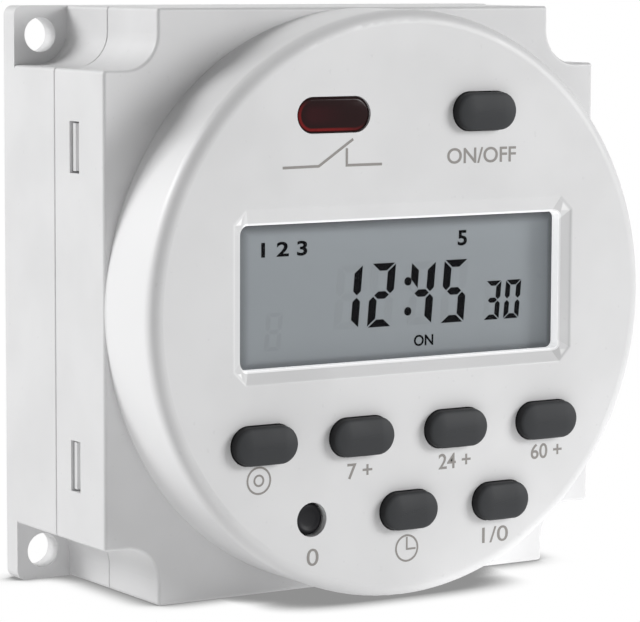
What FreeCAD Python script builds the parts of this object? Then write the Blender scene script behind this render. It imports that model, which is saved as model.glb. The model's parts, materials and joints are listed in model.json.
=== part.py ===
import FreeCAD, Part
import math
import operator
import os
from types import SimpleNamespace

import Sketcher
from FreeCAD import Rotation, Vector

# Digital timer relay for panel or wall mounting, in millimetres.
# The origin is the centre of the four mounting holes on the rear plane. X runs to the
# right of the display, Z up, and the display faces -Y. "Depth" is the distance forward
# of the rear plane, so a depth of 20 is the plane y = -20.

SIZES = [
    # outer case
    ("case_side", 60.0, "width and height of the square case"),
    ("case_wall", 1.8, "side wall thickness"),
    ("corner_notch", 6.1, "square notch over each mounting ear"),
    ("notch_round", 3.6, "radius in the inner corner of a notch"),
    ("edge_round", 0.35, "small radius on the outer edges"),
    ("joint_round", 0.15, "radius on both edges of the joint between the shells"),
    ("joint_groove", 0.22, "width of the groove that follows the joint"),
    ("groove_depth", 0.5, "depth of the groove that follows the joint"),
    ("case_split", 11.1, "depth of the joint between the two shells"),
    ("case_front", 21.5, "depth of the square front plane"),
    # mounting ears
    ("ear_plate", 2.35, "thickness of the ears"),
    ("ear_round", 1.0, "radius of the ear's outer corner"),
    ("hole_inset", 3.0, "mounting hole centre to the two outer edges"),
    ("hole_radius", 1.8, "mounting hole radius"),
    # round dial
    ("dial_inset", 0.1, "dial inside the sides of the case"),
    ("face_depth", 30.65, "depth of the flat dial face"),
    ("face_wall", 1.9, "thickness of the dial face"),
    ("dial_round", 1.4, "radius on the edge of the dial face"),
    # display window
    ("window_round", 0.75, "corner radius of the window"),
    ("bezel_side", 1.15, "bezel slope left and right of the window"),
    ("bezel_lap", 1.5, "bezel slope above and below the window"),
    ("bezel_corner", 1.4, "corner facet at the top of the bezel"),
    ("bezel_foot_corner", 0.9, "corner facet at the foot of the bezel"),
    ("bezel_drop", 0.8, "depth of the bezel slope"),
    ("bezel_round", 0.45, "radius between the dial face and the bezel slope"),
    ("lens_lap", 1.6, "window pane overlap behind the case on each side"),
    ("lens_thickness", 1.0, "window pane thickness"),
    # keys
    ("key_gap", 0.1, "gap round a key in its hole"),
    ("key_proud", 1.4, "key top above the dial face"),
    ("key_round", 0.9, "radius round the key top"),
    ("key_flange", 0.7, "flange beyond the key on each side"),
    ("flange_thickness", 1.0, "key flange thickness"),
    ("flange_gap", 0.1, "flange to the back of the dial face"),
    ("key_travel", 0.8, "key travel"),
    ("contact_gap", 0.05, "carbon contact to the board at full travel"),
    ("plunger_inset_long", 0.8, "plunger end inside the key end"),
    ("plunger_inset_high", 0.5, "plunger side inside the key side"),
    ("contact_radius", 1.3, "carbon contact radius"),
    ("contact_thickness", 0.5, "carbon contact thickness"),
    ("reset_radius", 1.55, "reset key radius"),
    ("reset_hole_gap", 0.2, "gap round the reset key"),
    ("reset_recess", 0.55, "reset key top below the dial face"),
    # indicator
    ("lamp_recess", 0.12, "indicator lens below the dial face"),
    ("lamp_flange", 0.8, "indicator lens flange on each side"),
    ("lamp_fit", 0.05, "gap round the indicator lens"),
    ("led_gap", 0.3, "lamp dome tip to the lens"),
    ("led_radius", 1.5, "lamp dome radius"),
    ("led_collar", 1.9, "lamp collar radius"),
    ("led_lead_pitch", 2.54, "distance between the lamp leads"),
    # display stack
    ("panel_lap", 2.15, "display glass beyond the window, left and right"),
    ("panel_overlap", 2.375, "display glass beyond the window, top and bottom"),
    ("panel_thickness", 2.8, "display glass thickness"),
    ("panel_plate", 1.1, "thickness of each of the two glass plates"),
    ("panel_ledge", 1.6, "rear plate showing beyond the front plate, top and bottom"),
    ("panel_gap", 0.15, "display glass to the window pane"),
    ("frame_wall", 1.1, "display frame wall"),
    ("frame_fit", 0.1, "gap round the display glass in its frame"),
    ("frame_round", 1.0, "radius on the corners of the display frame"),
    ("frame_gap", 0.1, "display frame to the back of the dial face"),
    ("strip_end", 1.5, "strip end inside the end of the display glass"),
    ("strip_height", 1.55, "elastomer contact strip height"),
    ("strip_width", 2.0, "elastomer contact strip width"),
    ("strip_inset", 0.3, "strip inside the edge of the display glass"),
    # boards
    ("board_thickness", 1.6, "circuit board thickness"),
    ("board_gap", 0.7, "control board edge to the dial wall"),
    ("power_depth", 3.0, "depth of the power board's rear face"),
    ("power_fit", 0.2, "power board edge to the locating lip"),
    ("rear_floor", 2.0, "rear case floor thickness"),
    ("mat_thickness", 0.8, "keypad mat sheet thickness"),
    ("mat_inset", 0.2, "keypad mat inside the edge of the control board"),
    ("mat_clearance", 0.3, "keypad mat to what passes through it"),
    ("collar_room", 0.5, "keypad collar to the flange of a pressed key"),
    ("collar_wall", 0.8, "keypad collar wall"),
    ("collar_gap", 0.15, "keypad collar to the key's plunger"),
    # screws and posts
    ("screw_radius", 0.95, "self-tapping screw shank radius"),
    ("screw_pilot", 1.0, "pilot hole radius"),
    ("screw_clear", 1.15, "screw hole radius in a board"),
    ("screw_length", 4.0, "screw length under the head"),
    ("screw_head_radius", 1.9, "screw head radius"),
    ("screw_head_height", 1.3, "screw head height"),
    ("boss_radius", 1.8, "screw boss radius in the front case"),
    ("boss_inset", 2.1, "control board screws inside the edge of the board"),
    ("post_radius", 2.2, "screw post radius in the rear case"),
    ("post_inset", 5.7, "power board screws inside the sides of the case"),
    ("post_skin", 0.5, "plastic left behind a pilot hole"),
    # rear label
    ("label_width", 46.0, "label recess width"),
    ("label_height", 26.0, "label recess height"),
    ("label_depth", 0.3, "label recess depth"),
    ("label_rise", 7.0, "label recess centre above the centre"),
    # shell joint
    ("lip_gap", 0.1, "locating lip to the front case wall"),
    ("lip_wall", 1.0, "locating lip thickness"),
    ("lip_height", 1.6, "locating lip beyond the joint"),
    ("latch_inset", 13.9, "latch centre to the top or bottom of the case"),
    ("latch_rise", 3.3, "near edge of the latch slot beyond the joint"),
    ("latch_width", 4.8, "latch width"),
    ("latch_thickness", 1.2, "latch tongue thickness"),
    ("slot_width", 5.2, "latch slot width"),
    ("slot_height", 2.0, "latch slot height"),
    ("hook_recess", 0.3, "latch hook below the outer surface"),
    ("hook_play", 0.15, "latch hook to the slot's near edge"),
    # blade terminals
    ("blade_width", 6.35, "blade width"),
    ("blade_thickness", 0.8, "blade thickness"),
    ("blade_length", 8.0, "blade beyond the rear plane"),
    ("blade_tip", 1.2, "length of the tapered tip"),
    ("blade_margin", 1.4, "outermost blade inside the corner of the power board"),
    ("blade_inset", 11.0, "blade row to the bottom of the case"),
    ("blade_eye", 0.85, "radius of the detent hole"),
    ("blade_eye_inset", 3.9, "detent hole from the blade tip"),
    ("blade_shoulder", 0.9, "shoulder beyond the blade on each side"),
    ("blade_slot_gap", 0.3, "gap round the blade in its slot"),
    ("pin_width", 1.2, "width of a blade's solder pin"),
    ("pin_spread", 4.4, "distance between a blade's two solder pins"),
    ("pin_stub", 0.9, "solder pin beyond the board"),
    ("pin_hole", 0.8, "hole radius for a solder pin"),
    # link between the boards
    ("link_side", 0.64, "link pin side"),
    ("link_pitch", 2.54, "distance between link pins"),
    ("link_inset", 3.8, "link row inside the edge of the control board"),
    ("link_hole", 0.5, "link pin hole radius"),
    ("link_stub", 0.5, "link pin beyond each board"),
    ("link_spacer", 2.5, "link spacer width and height"),
    # relay
    ("relay_gap", 0.4, "relay cover to the control board"),
    ("relay_wall", 0.7, "relay cover wall"),
    ("relay_base_height", 2.0, "relay base height"),
    ("relay_fit", 0.05, "relay base inside its cover"),
    ("relay_round", 0.6, "radius on the relay cover's edges"),
    ("relay_standoff", 0.2, "relay cover above the power board"),
    ("yoke_thickness", 1.0, "relay yoke plate thickness"),
    ("pole_thickness", 0.6, "pole face thickness"),
    ("bobbin_flange", 0.8, "bobbin flange thickness"),
    ("bore_gap", 0.05, "bobbin bore round the core"),
    ("armature_thickness", 0.9, "armature thickness"),
    ("armature_lift", 0.08, "armature above the yoke at the hinge"),
    ("pole_gap", 0.34, "armature to the pole face when released"),
    ("blade_spring", 0.25, "contact spring thickness"),
    ("button_height", 0.5, "relay contact height"),
    ("contact_play", 0.8, "travel between the two fixed contacts"),
    ("rest_play", 0.05, "moving contact to the resting contact"),
    ("finger_gap", 0.6, "fixed contact strip to the relay cover"),
    ("finger_thickness", 0.6, "fixed contact strip thickness"),
    # other parts on the power board
    ("film_gap", 2.1, "film capacitor to the control board"),
    ("film_round", 0.6, "film capacitor edge radius"),
    ("can_gap", 4.1, "smoothing capacitor to the control board"),
    ("can_groove", 0.35, "smoothing capacitor groove depth"),
    ("disc_lift", 1.2, "varistor above its board"),
    ("resistor_radius", 1.15, "resistor body radius"),
    ("diode_radius", 1.25, "diode body radius"),
    ("lead_radius", 0.3, "component lead radius"),
    ("lead_reach", 1.8, "lead beyond the body on each side"),
    ("transistor_radius", 2.3, "transistor radius"),
    ("transistor_flat", 1.3, "transistor axis to its flat side"),
    ("transistor_height", 4.6, "transistor body height"),
    ("transistor_lift", 1.5, "transistor above its board"),
    # parts on the control board
    ("chip_height", 1.8, "epoxy over the timer chip, height"),
    ("crystal_radius", 1.0, "clock crystal radius"),
    ("cell_thickness", 5.4, "backup cell thickness"),
    ("cell_round", 0.5, "backup cell edge radius"),
    ("tab_thickness", 0.25, "cell tab thickness"),
    ("tab_width", 3.0, "cell tab width"),
    ("tab_clear", 0.5, "cell tab leg beside the cell"),
    # what the two layouts are drawn for
    ("layout_radius", 29.9, "dial radius that the dial layout is drawn for"),
    ("layout_side", 60.0, "case side that the board layout is drawn for"),
]

# The dial layout: it grows and shrinks with the dial.
DIAL_LAYOUT = [
    ("window_width", 38.8, "visible window width"),
    ("window_height", 14.4, "visible window height"),
    ("window_rise", 1.62, "window centre above the dial centre"),
    ("bezel_rise", 0.17, "bezel centre above the window centre"),
    ("key_length", 7.22, "length of a long key"),
    ("short_key_length", 6.53, "length of a key in the lowest row"),
    ("key_height", 3.88, "height of a key"),
    ("top_row_rise", 19.52, "lamp and upper key above the dial centre"),
    ("top_row_reach", 9.0, "lamp and upper key each side of the dial centre"),
    ("key_row_drop", 12.9, "row of four keys below the dial centre"),
    ("key_pitch", 11.5, "spacing of the row of four keys"),
    ("low_row_drop", 20.92, "lowest row below the dial centre"),
    ("low_row_reach", 11.45, "reset key and recall key each side of the dial centre"),
    ("lamp_length", 8.55, "indicator lens length"),
    ("lamp_height", 3.55, "indicator lens height"),
]

# The layout of the two boards: it grows and shrinks with the case.
BOARD_LAYOUT = [
    ("post_rise", 9.0, "upper power board screws above the centre"),
    ("post_drop", 10.0, "lower power board screws below the centre"),
    ("relay_inset", 5.4, "relay to the left edge of the power board"),
    ("relay_length", 29.0, "relay length"),
    ("relay_width", 12.7, "relay width"),
    ("relay_z", -4.5, "relay centre, up"),
    ("yoke_width", 8.0, "relay yoke width"),
    ("yoke_inset", 3.0, "outer face of the yoke inside the relay's end"),
    ("core_reach", 6.9, "core axis from the outer face of the yoke"),
    ("core_radius", 1.5, "core radius"),
    ("pole_radius", 2.4, "pole face radius"),
    ("coil_radius", 4.2, "winding radius"),
    ("flange_radius", 5.0, "bobbin flange radius"),
    ("armature_length", 13.4, "armature length"),
    ("spring_width", 4.0, "contact spring width"),
    ("contact_inset", 5.5, "contact axis inside the relay's other end"),
    ("spring_tail", 1.6, "contact spring beyond the contact axis"),
    ("button_radius", 1.4, "relay contact radius"),
    ("film_inset", 0.9, "film capacitor to the right edge of the power board, and to the relay"),
    ("film_width", 7.6, "film capacitor width"),
    ("film_z", -3.6, "film capacitor centre, up"),
    ("can_radius", 4.0, "smoothing capacitor radius"),
    ("can_x", 17.4, "smoothing capacitor centre, across"),
    ("can_z", 7.4, "smoothing capacitor centre, up"),
    ("disc_radius", 4.4, "varistor radius"),
    ("disc_thickness", 3.4, "varistor thickness"),
    ("disc_x", 8.6, "varistor centre, across"),
    ("disc_z", 6.6, "varistor centre, up"),
    ("resistor_length", 6.2, "resistor body length"),
    ("resistor_x", -15.5, "resistors, across"),
    ("resistor_z", 11.0, "lowest resistor, up"),
    ("resistor_pitch", 4.2, "distance between resistors"),
    ("diode_length", 4.6, "diode body length"),
    ("diode_x", -3.6, "diodes, across"),
    ("diode_z", 8.0, "lowest diode, up"),
    ("diode_pitch", 3.6, "distance between diodes"),
    ("transistor_x", 6.6, "transistor, across"),
    ("transistor_z", 15.6, "transistor, up"),
    ("chip_radius", 6.0, "epoxy over the timer chip, radius"),
    ("chip_x", 10.5, "timer chip, across"),
    ("chip_z", 10.5, "timer chip, up"),
    ("crystal_length", 6.0, "clock crystal length"),
    ("crystal_x", 9.0, "clock crystal, across"),
    ("crystal_z", -13.0, "clock crystal, up"),
    ("cell_radius", 7.75, "backup cell radius"),
    ("cell_x", -8.0, "backup cell, across"),
    ("cell_z", 11.0, "backup cell, up"),
]
DIMENSIONS = SIZES + DIAL_LAYOUT + BOARD_LAYOUT

document = FreeCAD.newDocument("timer_relay")
sheet = document.addObject("Spreadsheet::Sheet", "dim")
for row, (alias, number, meaning) in enumerate(DIMENSIONS, start=1):
    sheet.set(f"A{row}", meaning)
    sheet.set(f"B{row}", str(number))
    sheet.setAlias(f"B{row}", alias)
document.recompute()


class Size:
    """A length with its spreadsheet formula, so that sums of sizes stay bound to the sheet."""

    def __init__(self, formula, value):
        self.formula = formula
        self.value = value

    def combine(self, other, sign, calculate, swapped=False):
        other = other if isinstance(other, Size) else Size(str(other), other)
        first, second = (other, self) if swapped else (self, other)
        formula = f"({first.formula} {sign} {second.formula})"
        return Size(formula, calculate(first.value, second.value))

    def __add__(self, other):
        return self.combine(other, "+", operator.add)

    def __radd__(self, other):
        return self.combine(other, "+", operator.add, swapped=True)

    def __sub__(self, other):
        return self.combine(other, "-", operator.sub)

    def __rsub__(self, other):
        return self.combine(other, "-", operator.sub, swapped=True)

    def __mul__(self, other):
        return self.combine(other, "*", operator.mul)

    def __rmul__(self, other):
        return self.combine(other, "*", operator.mul, swapped=True)

    def __truediv__(self, other):
        return self.combine(other, "/", operator.truediv)

    def __neg__(self):
        return self * -1


d = SimpleNamespace(**{name: Size(f"dim.{name}", getattr(sheet, name)) for name, _, _ in DIMENSIONS})
ZERO = Size("0", 0.0)

# Planes and places shared by several pieces.
half_side = d.case_side / 2
dial_radius = half_side - d.dial_inset
for layout, scale in (
    (DIAL_LAYOUT, dial_radius / d.layout_radius),
    (BOARD_LAYOUT, d.case_side / d.layout_side),
):
    for name, _, _ in layout:
        setattr(d, name, getattr(d, name) * scale)

notch_face = half_side - d.corner_notch
hole_reach = half_side - d.hole_inset
face_back = d.face_depth - d.face_wall
lens_back = face_back - d.lens_thickness
panel_front = lens_back - d.panel_gap
panel_back = panel_front - d.panel_thickness
control_front = panel_back - d.strip_height
control_depth = control_front - d.board_thickness
control_radius = dial_radius - d.case_wall - d.board_gap
panel_width = d.window_width + d.panel_lap * 2
panel_height = d.window_height + d.panel_overlap * 2
strip_length = panel_width - d.strip_end * 2
power_front = d.power_depth + d.board_thickness
flange_front = face_back - d.flange_gap
flange_back = flange_front - d.flange_thickness
contact_rest = control_front + d.contact_gap + d.key_travel
plunger_end = contact_rest + d.contact_thickness
mat_front = control_front + d.mat_thickness
collar_front = flange_back - d.key_travel - d.collar_room
lip_inset = d.case_wall + d.lip_gap
board_inset = lip_inset + d.lip_wall + d.power_fit
slot_near = d.case_split + d.latch_rise
slot_far = slot_near + d.slot_height
latch_reach = half_side - d.latch_inset
boss_reach = (control_radius - d.boss_inset) * math.sqrt(0.5)
post_reach = half_side - d.post_inset
link_rise = control_radius - d.link_inset
relay_x = board_inset + d.relay_inset - half_side + d.relay_length / 2
relay_end = relay_x + d.relay_length / 2
yoke_x = d.yoke_inset - d.relay_length / 2
core_x = yoke_x + d.core_reach
contact_x = d.relay_length / 2 - d.contact_inset
film_start = relay_end + d.film_inset
film_end = half_side - board_inset - d.film_inset
blade_pitch = (notch_face - board_inset - d.blade_margin) / 2
blade_drop = half_side - d.blade_inset
blade_slot_width = d.blade_thickness + d.blade_slot_gap * 2
blade_slot_height = d.blade_width + d.blade_slot_gap * 2

BOSSES = [(x * boss_reach, z * boss_reach) for x in (-1, 1) for z in (-1, 1)]
POSTS = [(x * post_reach, z) for x in (-1, 1) for z in (d.post_rise, -d.post_drop)]
LATCHES = [(x, z) for x in (-1, 1) for z in (-1, 1)]
BLADES = [place * blade_pitch for place in (-2, -1, 0, 1, 2)]
LINKS = [place * d.link_pitch for place in (-2, -1, 0, 1, 2)]

# Name, length and place of each key on the dial.
KEYS = [
    ("on_off_key", d.key_length, d.top_row_reach, d.top_row_rise),
    ("program_key", d.key_length, -d.key_pitch * 1.5, -d.key_row_drop),
    ("day_key", d.key_length, -d.key_pitch * 0.5, -d.key_row_drop),
    ("hour_key", d.key_length, d.key_pitch * 0.5, -d.key_row_drop),
    ("minute_key", d.key_length, d.key_pitch * 1.5, -d.key_row_drop),
    ("clock_key", d.short_key_length, ZERO, -d.low_row_drop),
    ("recall_key", d.short_key_length, d.low_row_reach, -d.low_row_drop),
]
RESET_X = -d.low_row_reach
RESET_Z = -d.low_row_drop
LAMP_X = -d.top_row_reach
LAMP_Z = d.top_row_rise


def bind(item, path, size):
    item.setExpression(path, size.formula)


def labelled(item, label):
    """Gives an object the name that its file and its node have."""
    item.Label = label
    return item


# Sketches, in Part Design bodies.


def new_body(label):
    return labelled(document.addObject("PartDesign::Body", label), label)


def origin_plane(body, role):
    return next(feature for feature in body.Origin.OriginFeatures if feature.Role == role)


def sketch_on(body, name, role, offset):
    """A sketch parallel to an origin plane: XZ offsets are depths, XY offsets heights."""
    sketch = body.newObject("Sketcher::SketchObject", name)
    sketch.AttachmentSupport = [(origin_plane(body, role), "")]
    sketch.MapMode = "FlatFace"
    bind(sketch, "AttachmentOffset.Base.z", offset)
    return sketch


def constrain(sketch, kind, size, *elements):
    index = sketch.addConstraint(Sketcher.Constraint(kind, *elements, size.value))
    name = f"{kind}_{index}"
    sketch.renameConstraint(index, name)
    bind(sketch, f"Constraints.{name}", size)


def fix_point(sketch, element, end, across, up):
    """Holds a point at its place from the sketch's origin."""
    for kind, size, axis in (("DistanceX", across, -2), ("DistanceY", up, -1)):
        if size is ZERO:
            sketch.addConstraint(Sketcher.Constraint("PointOnObject", element, end, axis))
        else:
            constrain(sketch, kind, size, -1, 1, element, end)


def add_polygon(sketch, corners):
    first = sketch.GeometryCount
    count = len(corners)
    for index, (across, up) in enumerate(corners):
        next_across, next_up = corners[(index + 1) % count]
        start = Vector(across.value, up.value, 0)
        finish = Vector(next_across.value, next_up.value, 0)
        sketch.addGeometry(Part.LineSegment(start, finish))
    for index in range(count):
        following = first + (index + 1) % count
        sketch.addConstraint(Sketcher.Constraint("Coincident", first + index, 2, following, 1))
    for index, (across, up) in enumerate(corners):
        fix_point(sketch, first + index, 1, across, up)


def add_rectangle(sketch, across, up, width, height, corner=None):
    """A rectangle about its centre, with corner facets if a corner size is given."""
    left, right = across - width / 2, across + width / 2
    low, high = up - height / 2, up + height / 2
    if corner is None:
        add_polygon(sketch, [(left, low), (right, low), (right, high), (left, high)])
        return
    add_polygon(sketch, [
        (left + corner, low), (right - corner, low), (right, low + corner), (right, high - corner),
        (right - corner, high), (left + corner, high), (left, high - corner), (left, low + corner),
    ])


def add_circle(sketch, across, up, radius):
    centre = Vector(across.value, up.value, 0)
    element = sketch.addGeometry(Part.Circle(centre, Vector(0, 0, 1), radius.value))
    constrain(sketch, "Radius", radius, element)
    fix_point(sketch, element, 3, across, up)


def add_arcs(sketch, centres, radius):
    """A smooth outline: equal arcs about the centres, from the lower right one on, and lines between."""
    sweep = 2 * math.pi / len(centres)
    arcs = []
    for index, (across, up) in enumerate(centres):
        start = index * sweep - math.pi / 2
        circle = Part.Circle(Vector(across.value, up.value, 0), Vector(0, 0, 1), radius.value)
        element = sketch.addGeometry(Part.ArcOfCircle(circle, start, start + sweep))
        constrain(sketch, "Radius", radius, element)
        fix_point(sketch, element, 3, across, up)
        arcs.append(element)
    for index, arc in enumerate(arcs):
        following = arcs[(index + 1) % len(arcs)]
        start = sketch.getPoint(arc, 2)
        finish = sketch.getPoint(following, 1)
        line = sketch.addGeometry(Part.LineSegment(start, finish))
        sketch.addConstraint(Sketcher.Constraint("Tangent", arc, 2, line, 1))
        sketch.addConstraint(Sketcher.Constraint("Tangent", line, 2, following, 1))


def add_slot(sketch, across, up, length, height):
    """A slot with round ends, about its centre."""
    reach = (length - height) / 2
    add_arcs(sketch, [(across + reach, up), (across - reach, up)], height / 2)


def add_rounded_rectangle(sketch, across, up, width, height, radius):
    """A rectangle with round corners, about its centre."""
    right, left = across + width / 2 - radius, across - width / 2 + radius
    high, low = up + height / 2 - radius, up - height / 2 + radius
    add_arcs(sketch, [(right, low), (right, high), (left, high), (left, low)], radius)


def cross_outline(inset):
    """The square case outline with its four corner notches, moved inwards by inset."""
    edge = half_side - inset
    notch = notch_face - inset
    return [
        (-notch, edge), (notch, edge), (notch, notch), (edge, notch), (edge, -notch), (notch, -notch),
        (notch, -edge), (-notch, -edge), (-notch, -notch), (-edge, -notch), (-edge, notch), (-notch, notch),
    ]


# Part Design features. Each one is given by the depths that it runs between.


def add(body, name, near, far, draw):
    """Adds a prism between two depths."""
    sketch = sketch_on(body, f"{name}_sketch", "XZ_Plane", near)
    draw(sketch)
    feature = body.newObject("PartDesign::Pad", name)
    feature.Profile = sketch
    bind(feature, "Length", far - near)
    document.recompute()
    return feature


def cut(body, name, near, far, draw):
    """Cuts a prism between two depths, and makes sure that it took something away."""
    before = body.Shape.Volume
    sketch = sketch_on(body, f"{name}_sketch", "XZ_Plane", far)
    draw(sketch)
    feature = body.newObject("PartDesign::Pocket", name)
    feature.Profile = sketch
    bind(feature, "Length", far - near)
    document.recompute()
    if body.Shape.Volume >= before:
        raise RuntimeError(f"{name} cuts nothing")
    return feature


def round_edges(body, name, radius, chosen):
    """Rounds the edges of the body that the chosen test accepts."""
    base = body.Tip
    names = [f"Edge{index}" for index, edge in enumerate(base.Shape.Edges, start=1) if chosen(edge)]
    if not names:
        raise RuntimeError(f"{name} finds no edge")
    feature = body.newObject("PartDesign::Fillet", name)
    feature.Base = (base, names)
    bind(feature, "Radius", radius)
    document.recompute()
    return feature


def near_value(first, second):
    return abs(first - second) < 1e-4


def is_round(edge):
    """True for a circular edge."""
    return not edge.Degenerated and isinstance(edge.Curve, Part.Circle)


def is_ring(edge, depth, radius):
    """True for a circle of the radius about the Y axis, at the depth."""
    return is_round(edge) and lies_at_depth(edge, depth) and near_value(edge.Curve.Radius, radius.value)


def runs_in_depth(edge):
    """True for a straight edge square to the front."""
    start, finish = edge.firstVertex().Point, edge.lastVertex().Point
    upright = near_value(start.x, finish.x) and near_value(start.z, finish.z)
    return upright and not near_value(start.y, finish.y)


def lies_at_depth(edge, depth):
    return all(near_value(-point.y, depth.value) for point in (edge.firstVertex().Point, edge.CenterOfMass))


def at_notch(edge):
    """True for an edge in depth at the inner corner of a notch."""
    point = edge.firstVertex().Point
    corner = notch_face.value
    return runs_in_depth(edge) and near_value(abs(point.x), corner) and near_value(abs(point.z), corner)


def at_convex_corner(edge):
    """True for an edge in depth at an outer corner of the notched outline."""
    point = edge.firstVertex().Point
    across, up = sorted((abs(point.x), abs(point.z)))
    return runs_in_depth(edge) and near_value(across, notch_face.value) and near_value(up, half_side.value)


# Plain solids, for the small parts inside.


def slab(name, across, up, near, far, width, height):
    """A box about the point (across, up), between two depths."""
    box = document.addObject("Part::Box", name)
    bind(box, "Length", width)
    bind(box, "Width", far - near)
    bind(box, "Height", height)
    bind(box, "Placement.Base.x", across - width / 2)
    bind(box, "Placement.Base.y", -far)
    bind(box, "Placement.Base.z", up - height / 2)
    return box


def rod(name, across, up, near, far, radius):
    """A round bar square to the front, between two depths."""
    cylinder = document.addObject("Part::Cylinder", name)
    cylinder.Placement.Rotation = Rotation(Vector(1, 0, 0), 90)
    bind(cylinder, "Radius", radius)
    bind(cylinder, "Height", far - near)
    bind(cylinder, "Placement.Base.x", across)
    bind(cylinder, "Placement.Base.y", -near)
    bind(cylinder, "Placement.Base.z", up)
    return cylinder


def cross_rod(name, across, up, depth, length, radius):
    """A round bar along X about the point (across, up)."""
    cylinder = document.addObject("Part::Cylinder", name)
    cylinder.Placement.Rotation = Rotation(Vector(0, 1, 0), 90)
    bind(cylinder, "Radius", radius)
    bind(cylinder, "Height", length)
    bind(cylinder, "Placement.Base.x", across - length / 2)
    bind(cylinder, "Placement.Base.y", -depth)
    bind(cylinder, "Placement.Base.z", up)
    return cylinder


def fuse(label, solids):
    joined = document.addObject("Part::MultiFuse", label)
    joined.Shapes = solids
    joined.Refine = True
    return labelled(joined, label)


def remove(label, base, tools):
    cutter = tools[0] if len(tools) == 1 else fuse(f"{label}_tools", tools)
    result = document.addObject("Part::Cut", label)
    result.Base = base
    result.Tool = cutter
    return labelled(result, label)


def group(label, solids):
    """Several separate solids in one sub-part."""
    compound = document.addObject("Part::Compound", label)
    compound.Links = solids
    return labelled(compound, label)


def round_part(label, base, radius, chosen):
    """Rounds the edges of a plain solid that the chosen test accepts."""
    document.recompute()
    numbers = [index for index, edge in enumerate(base.Shape.Edges, start=1) if chosen(edge)]
    rounded = document.addObject("Part::Fillet", label)
    rounded.Base = base
    rounded.Edges = [(number, radius.value, radius.value) for number in numbers]
    return labelled(rounded, label)


def screw(name, across, up, seat, direction):
    """A cross-head self-tapping screw whose head sits on the depth seat."""
    head_end = seat - direction * d.screw_head_height
    tip = seat + direction * d.screw_length
    depths = sorted((seat, head_end), key=lambda size: size.value)
    head = rod(f"{name}_head", across, up, *depths, d.screw_head_radius)
    depths = sorted((seat, tip), key=lambda size: size.value)
    shank = rod(f"{name}_shank", across, up, *depths, d.screw_radius)
    recess_floor = seat - direction * d.screw_head_height / 2
    depths = sorted((recess_floor, head_end), key=lambda size: size.value)
    long_side, short_side = d.screw_head_radius * 1.1, d.screw_head_radius * 0.25
    bars = [
        slab(f"{name}_bar_{index}", across, up, *depths, *sides)
        for index, sides in enumerate([(long_side, short_side), (short_side, long_side)])
    ]
    return remove(name, fuse(f"{name}_blank", [head, shank]), bars)


# The two shells.


def front_case():
    """Square shell with the round dial, its window, key holes, screw bosses and latch slots."""
    body = new_body("front_case")
    add(body, "case_block", d.case_split, d.case_front,
        lambda sketch: add_polygon(sketch, cross_outline(ZERO)))
    round_edges(body, "notch_corners", d.notch_round, at_notch)
    round_edges(body, "case_corners", d.edge_round, at_convex_corner)
    round_edges(body, "case_front_edges", d.edge_round, lambda edge: lies_at_depth(edge, d.case_front))
    round_edges(body, "front_joint_edges", d.joint_round, lambda edge: lies_at_depth(edge, d.case_split))
    front_dial(body)
    add_cavities(body)
    add_window(body)
    add_face_holes(body)
    round_edges(body, "dial_edge", d.dial_round, lambda edge: is_ring(edge, d.face_depth, dial_radius))
    add_bosses(body)
    add_latch_slots(body)
    add_joint_groove(body)
    return body


def front_dial(body):
    """The round dial on the front plane."""
    root = d.case_front - d.case_wall / 2
    add(body, "dial", root, d.face_depth, lambda sketch: add_circle(sketch, ZERO, ZERO, dial_radius))


def add_cavities(body):
    cut(body, "square_cavity", d.case_split, d.case_front - d.case_wall,
        lambda sketch: add_polygon(sketch, cross_outline(d.case_wall)))
    cut(body, "dial_cavity", d.case_split, face_back,
        lambda sketch: add_circle(sketch, ZERO, ZERO, dial_radius - d.case_wall))


def add_window(body):
    """Window opening and the sloping bezel round it."""
    window = (d.window_width, d.window_height)
    cut(body, "window_opening", face_back, d.face_depth,
        lambda sketch: add_rounded_rectangle(sketch, ZERO, d.window_rise, *window, d.window_round))
    foot = sketch_on(body, "bezel_foot_sketch", "XZ_Plane", d.face_depth - d.bezel_drop)
    add_rectangle(foot, ZERO, d.window_rise, *window, d.bezel_foot_corner)
    brow = sketch_on(body, "bezel_brow_sketch", "XZ_Plane", d.face_depth)
    add_rectangle(brow, ZERO, d.window_rise + d.bezel_rise, d.window_width + d.bezel_side * 2,
                  d.window_height + d.bezel_lap * 2, d.bezel_corner)
    before = body.Shape.Volume
    slope = body.newObject("PartDesign::SubtractiveLoft", "bezel_slope")
    slope.Profile = brow
    slope.Sections = [foot]
    slope.Ruled = True
    document.recompute()
    if body.Shape.Volume >= before:
        raise RuntimeError("bezel_slope cuts nothing")
    round_edges(body, "bezel_edge", d.bezel_round,
                lambda edge: lies_at_depth(edge, d.face_depth) and not is_round(edge))


def add_face_holes(body):
    """Holes in the dial face for the lamp lens, the keys and the reset key."""

    def draw(sketch):
        lamp_gap = d.lamp_fit * 2
        add_slot(sketch, LAMP_X, LAMP_Z, d.lamp_length + lamp_gap, d.lamp_height + lamp_gap)
        for _, length, across, up in KEYS:
            add_slot(sketch, across, up, length + d.key_gap * 2, d.key_height + d.key_gap * 2)
        add_circle(sketch, RESET_X, RESET_Z, d.reset_radius + d.reset_hole_gap)

    cut(body, "face_holes", face_back, d.face_depth, draw)


def add_bosses(body):
    """Bosses for the control board screws, with pilot holes as deep as the screws reach."""

    def bosses(sketch):
        for across, up in BOSSES:
            add_circle(sketch, across, up, d.boss_radius)

    def pilots(sketch):
        for across, up in BOSSES:
            add_circle(sketch, across, up, d.screw_pilot)

    add(body, "screw_bosses", control_front, face_back, bosses)
    cut(body, "boss_pilots", control_front, control_depth + d.screw_length + d.post_skin, pilots)


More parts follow.
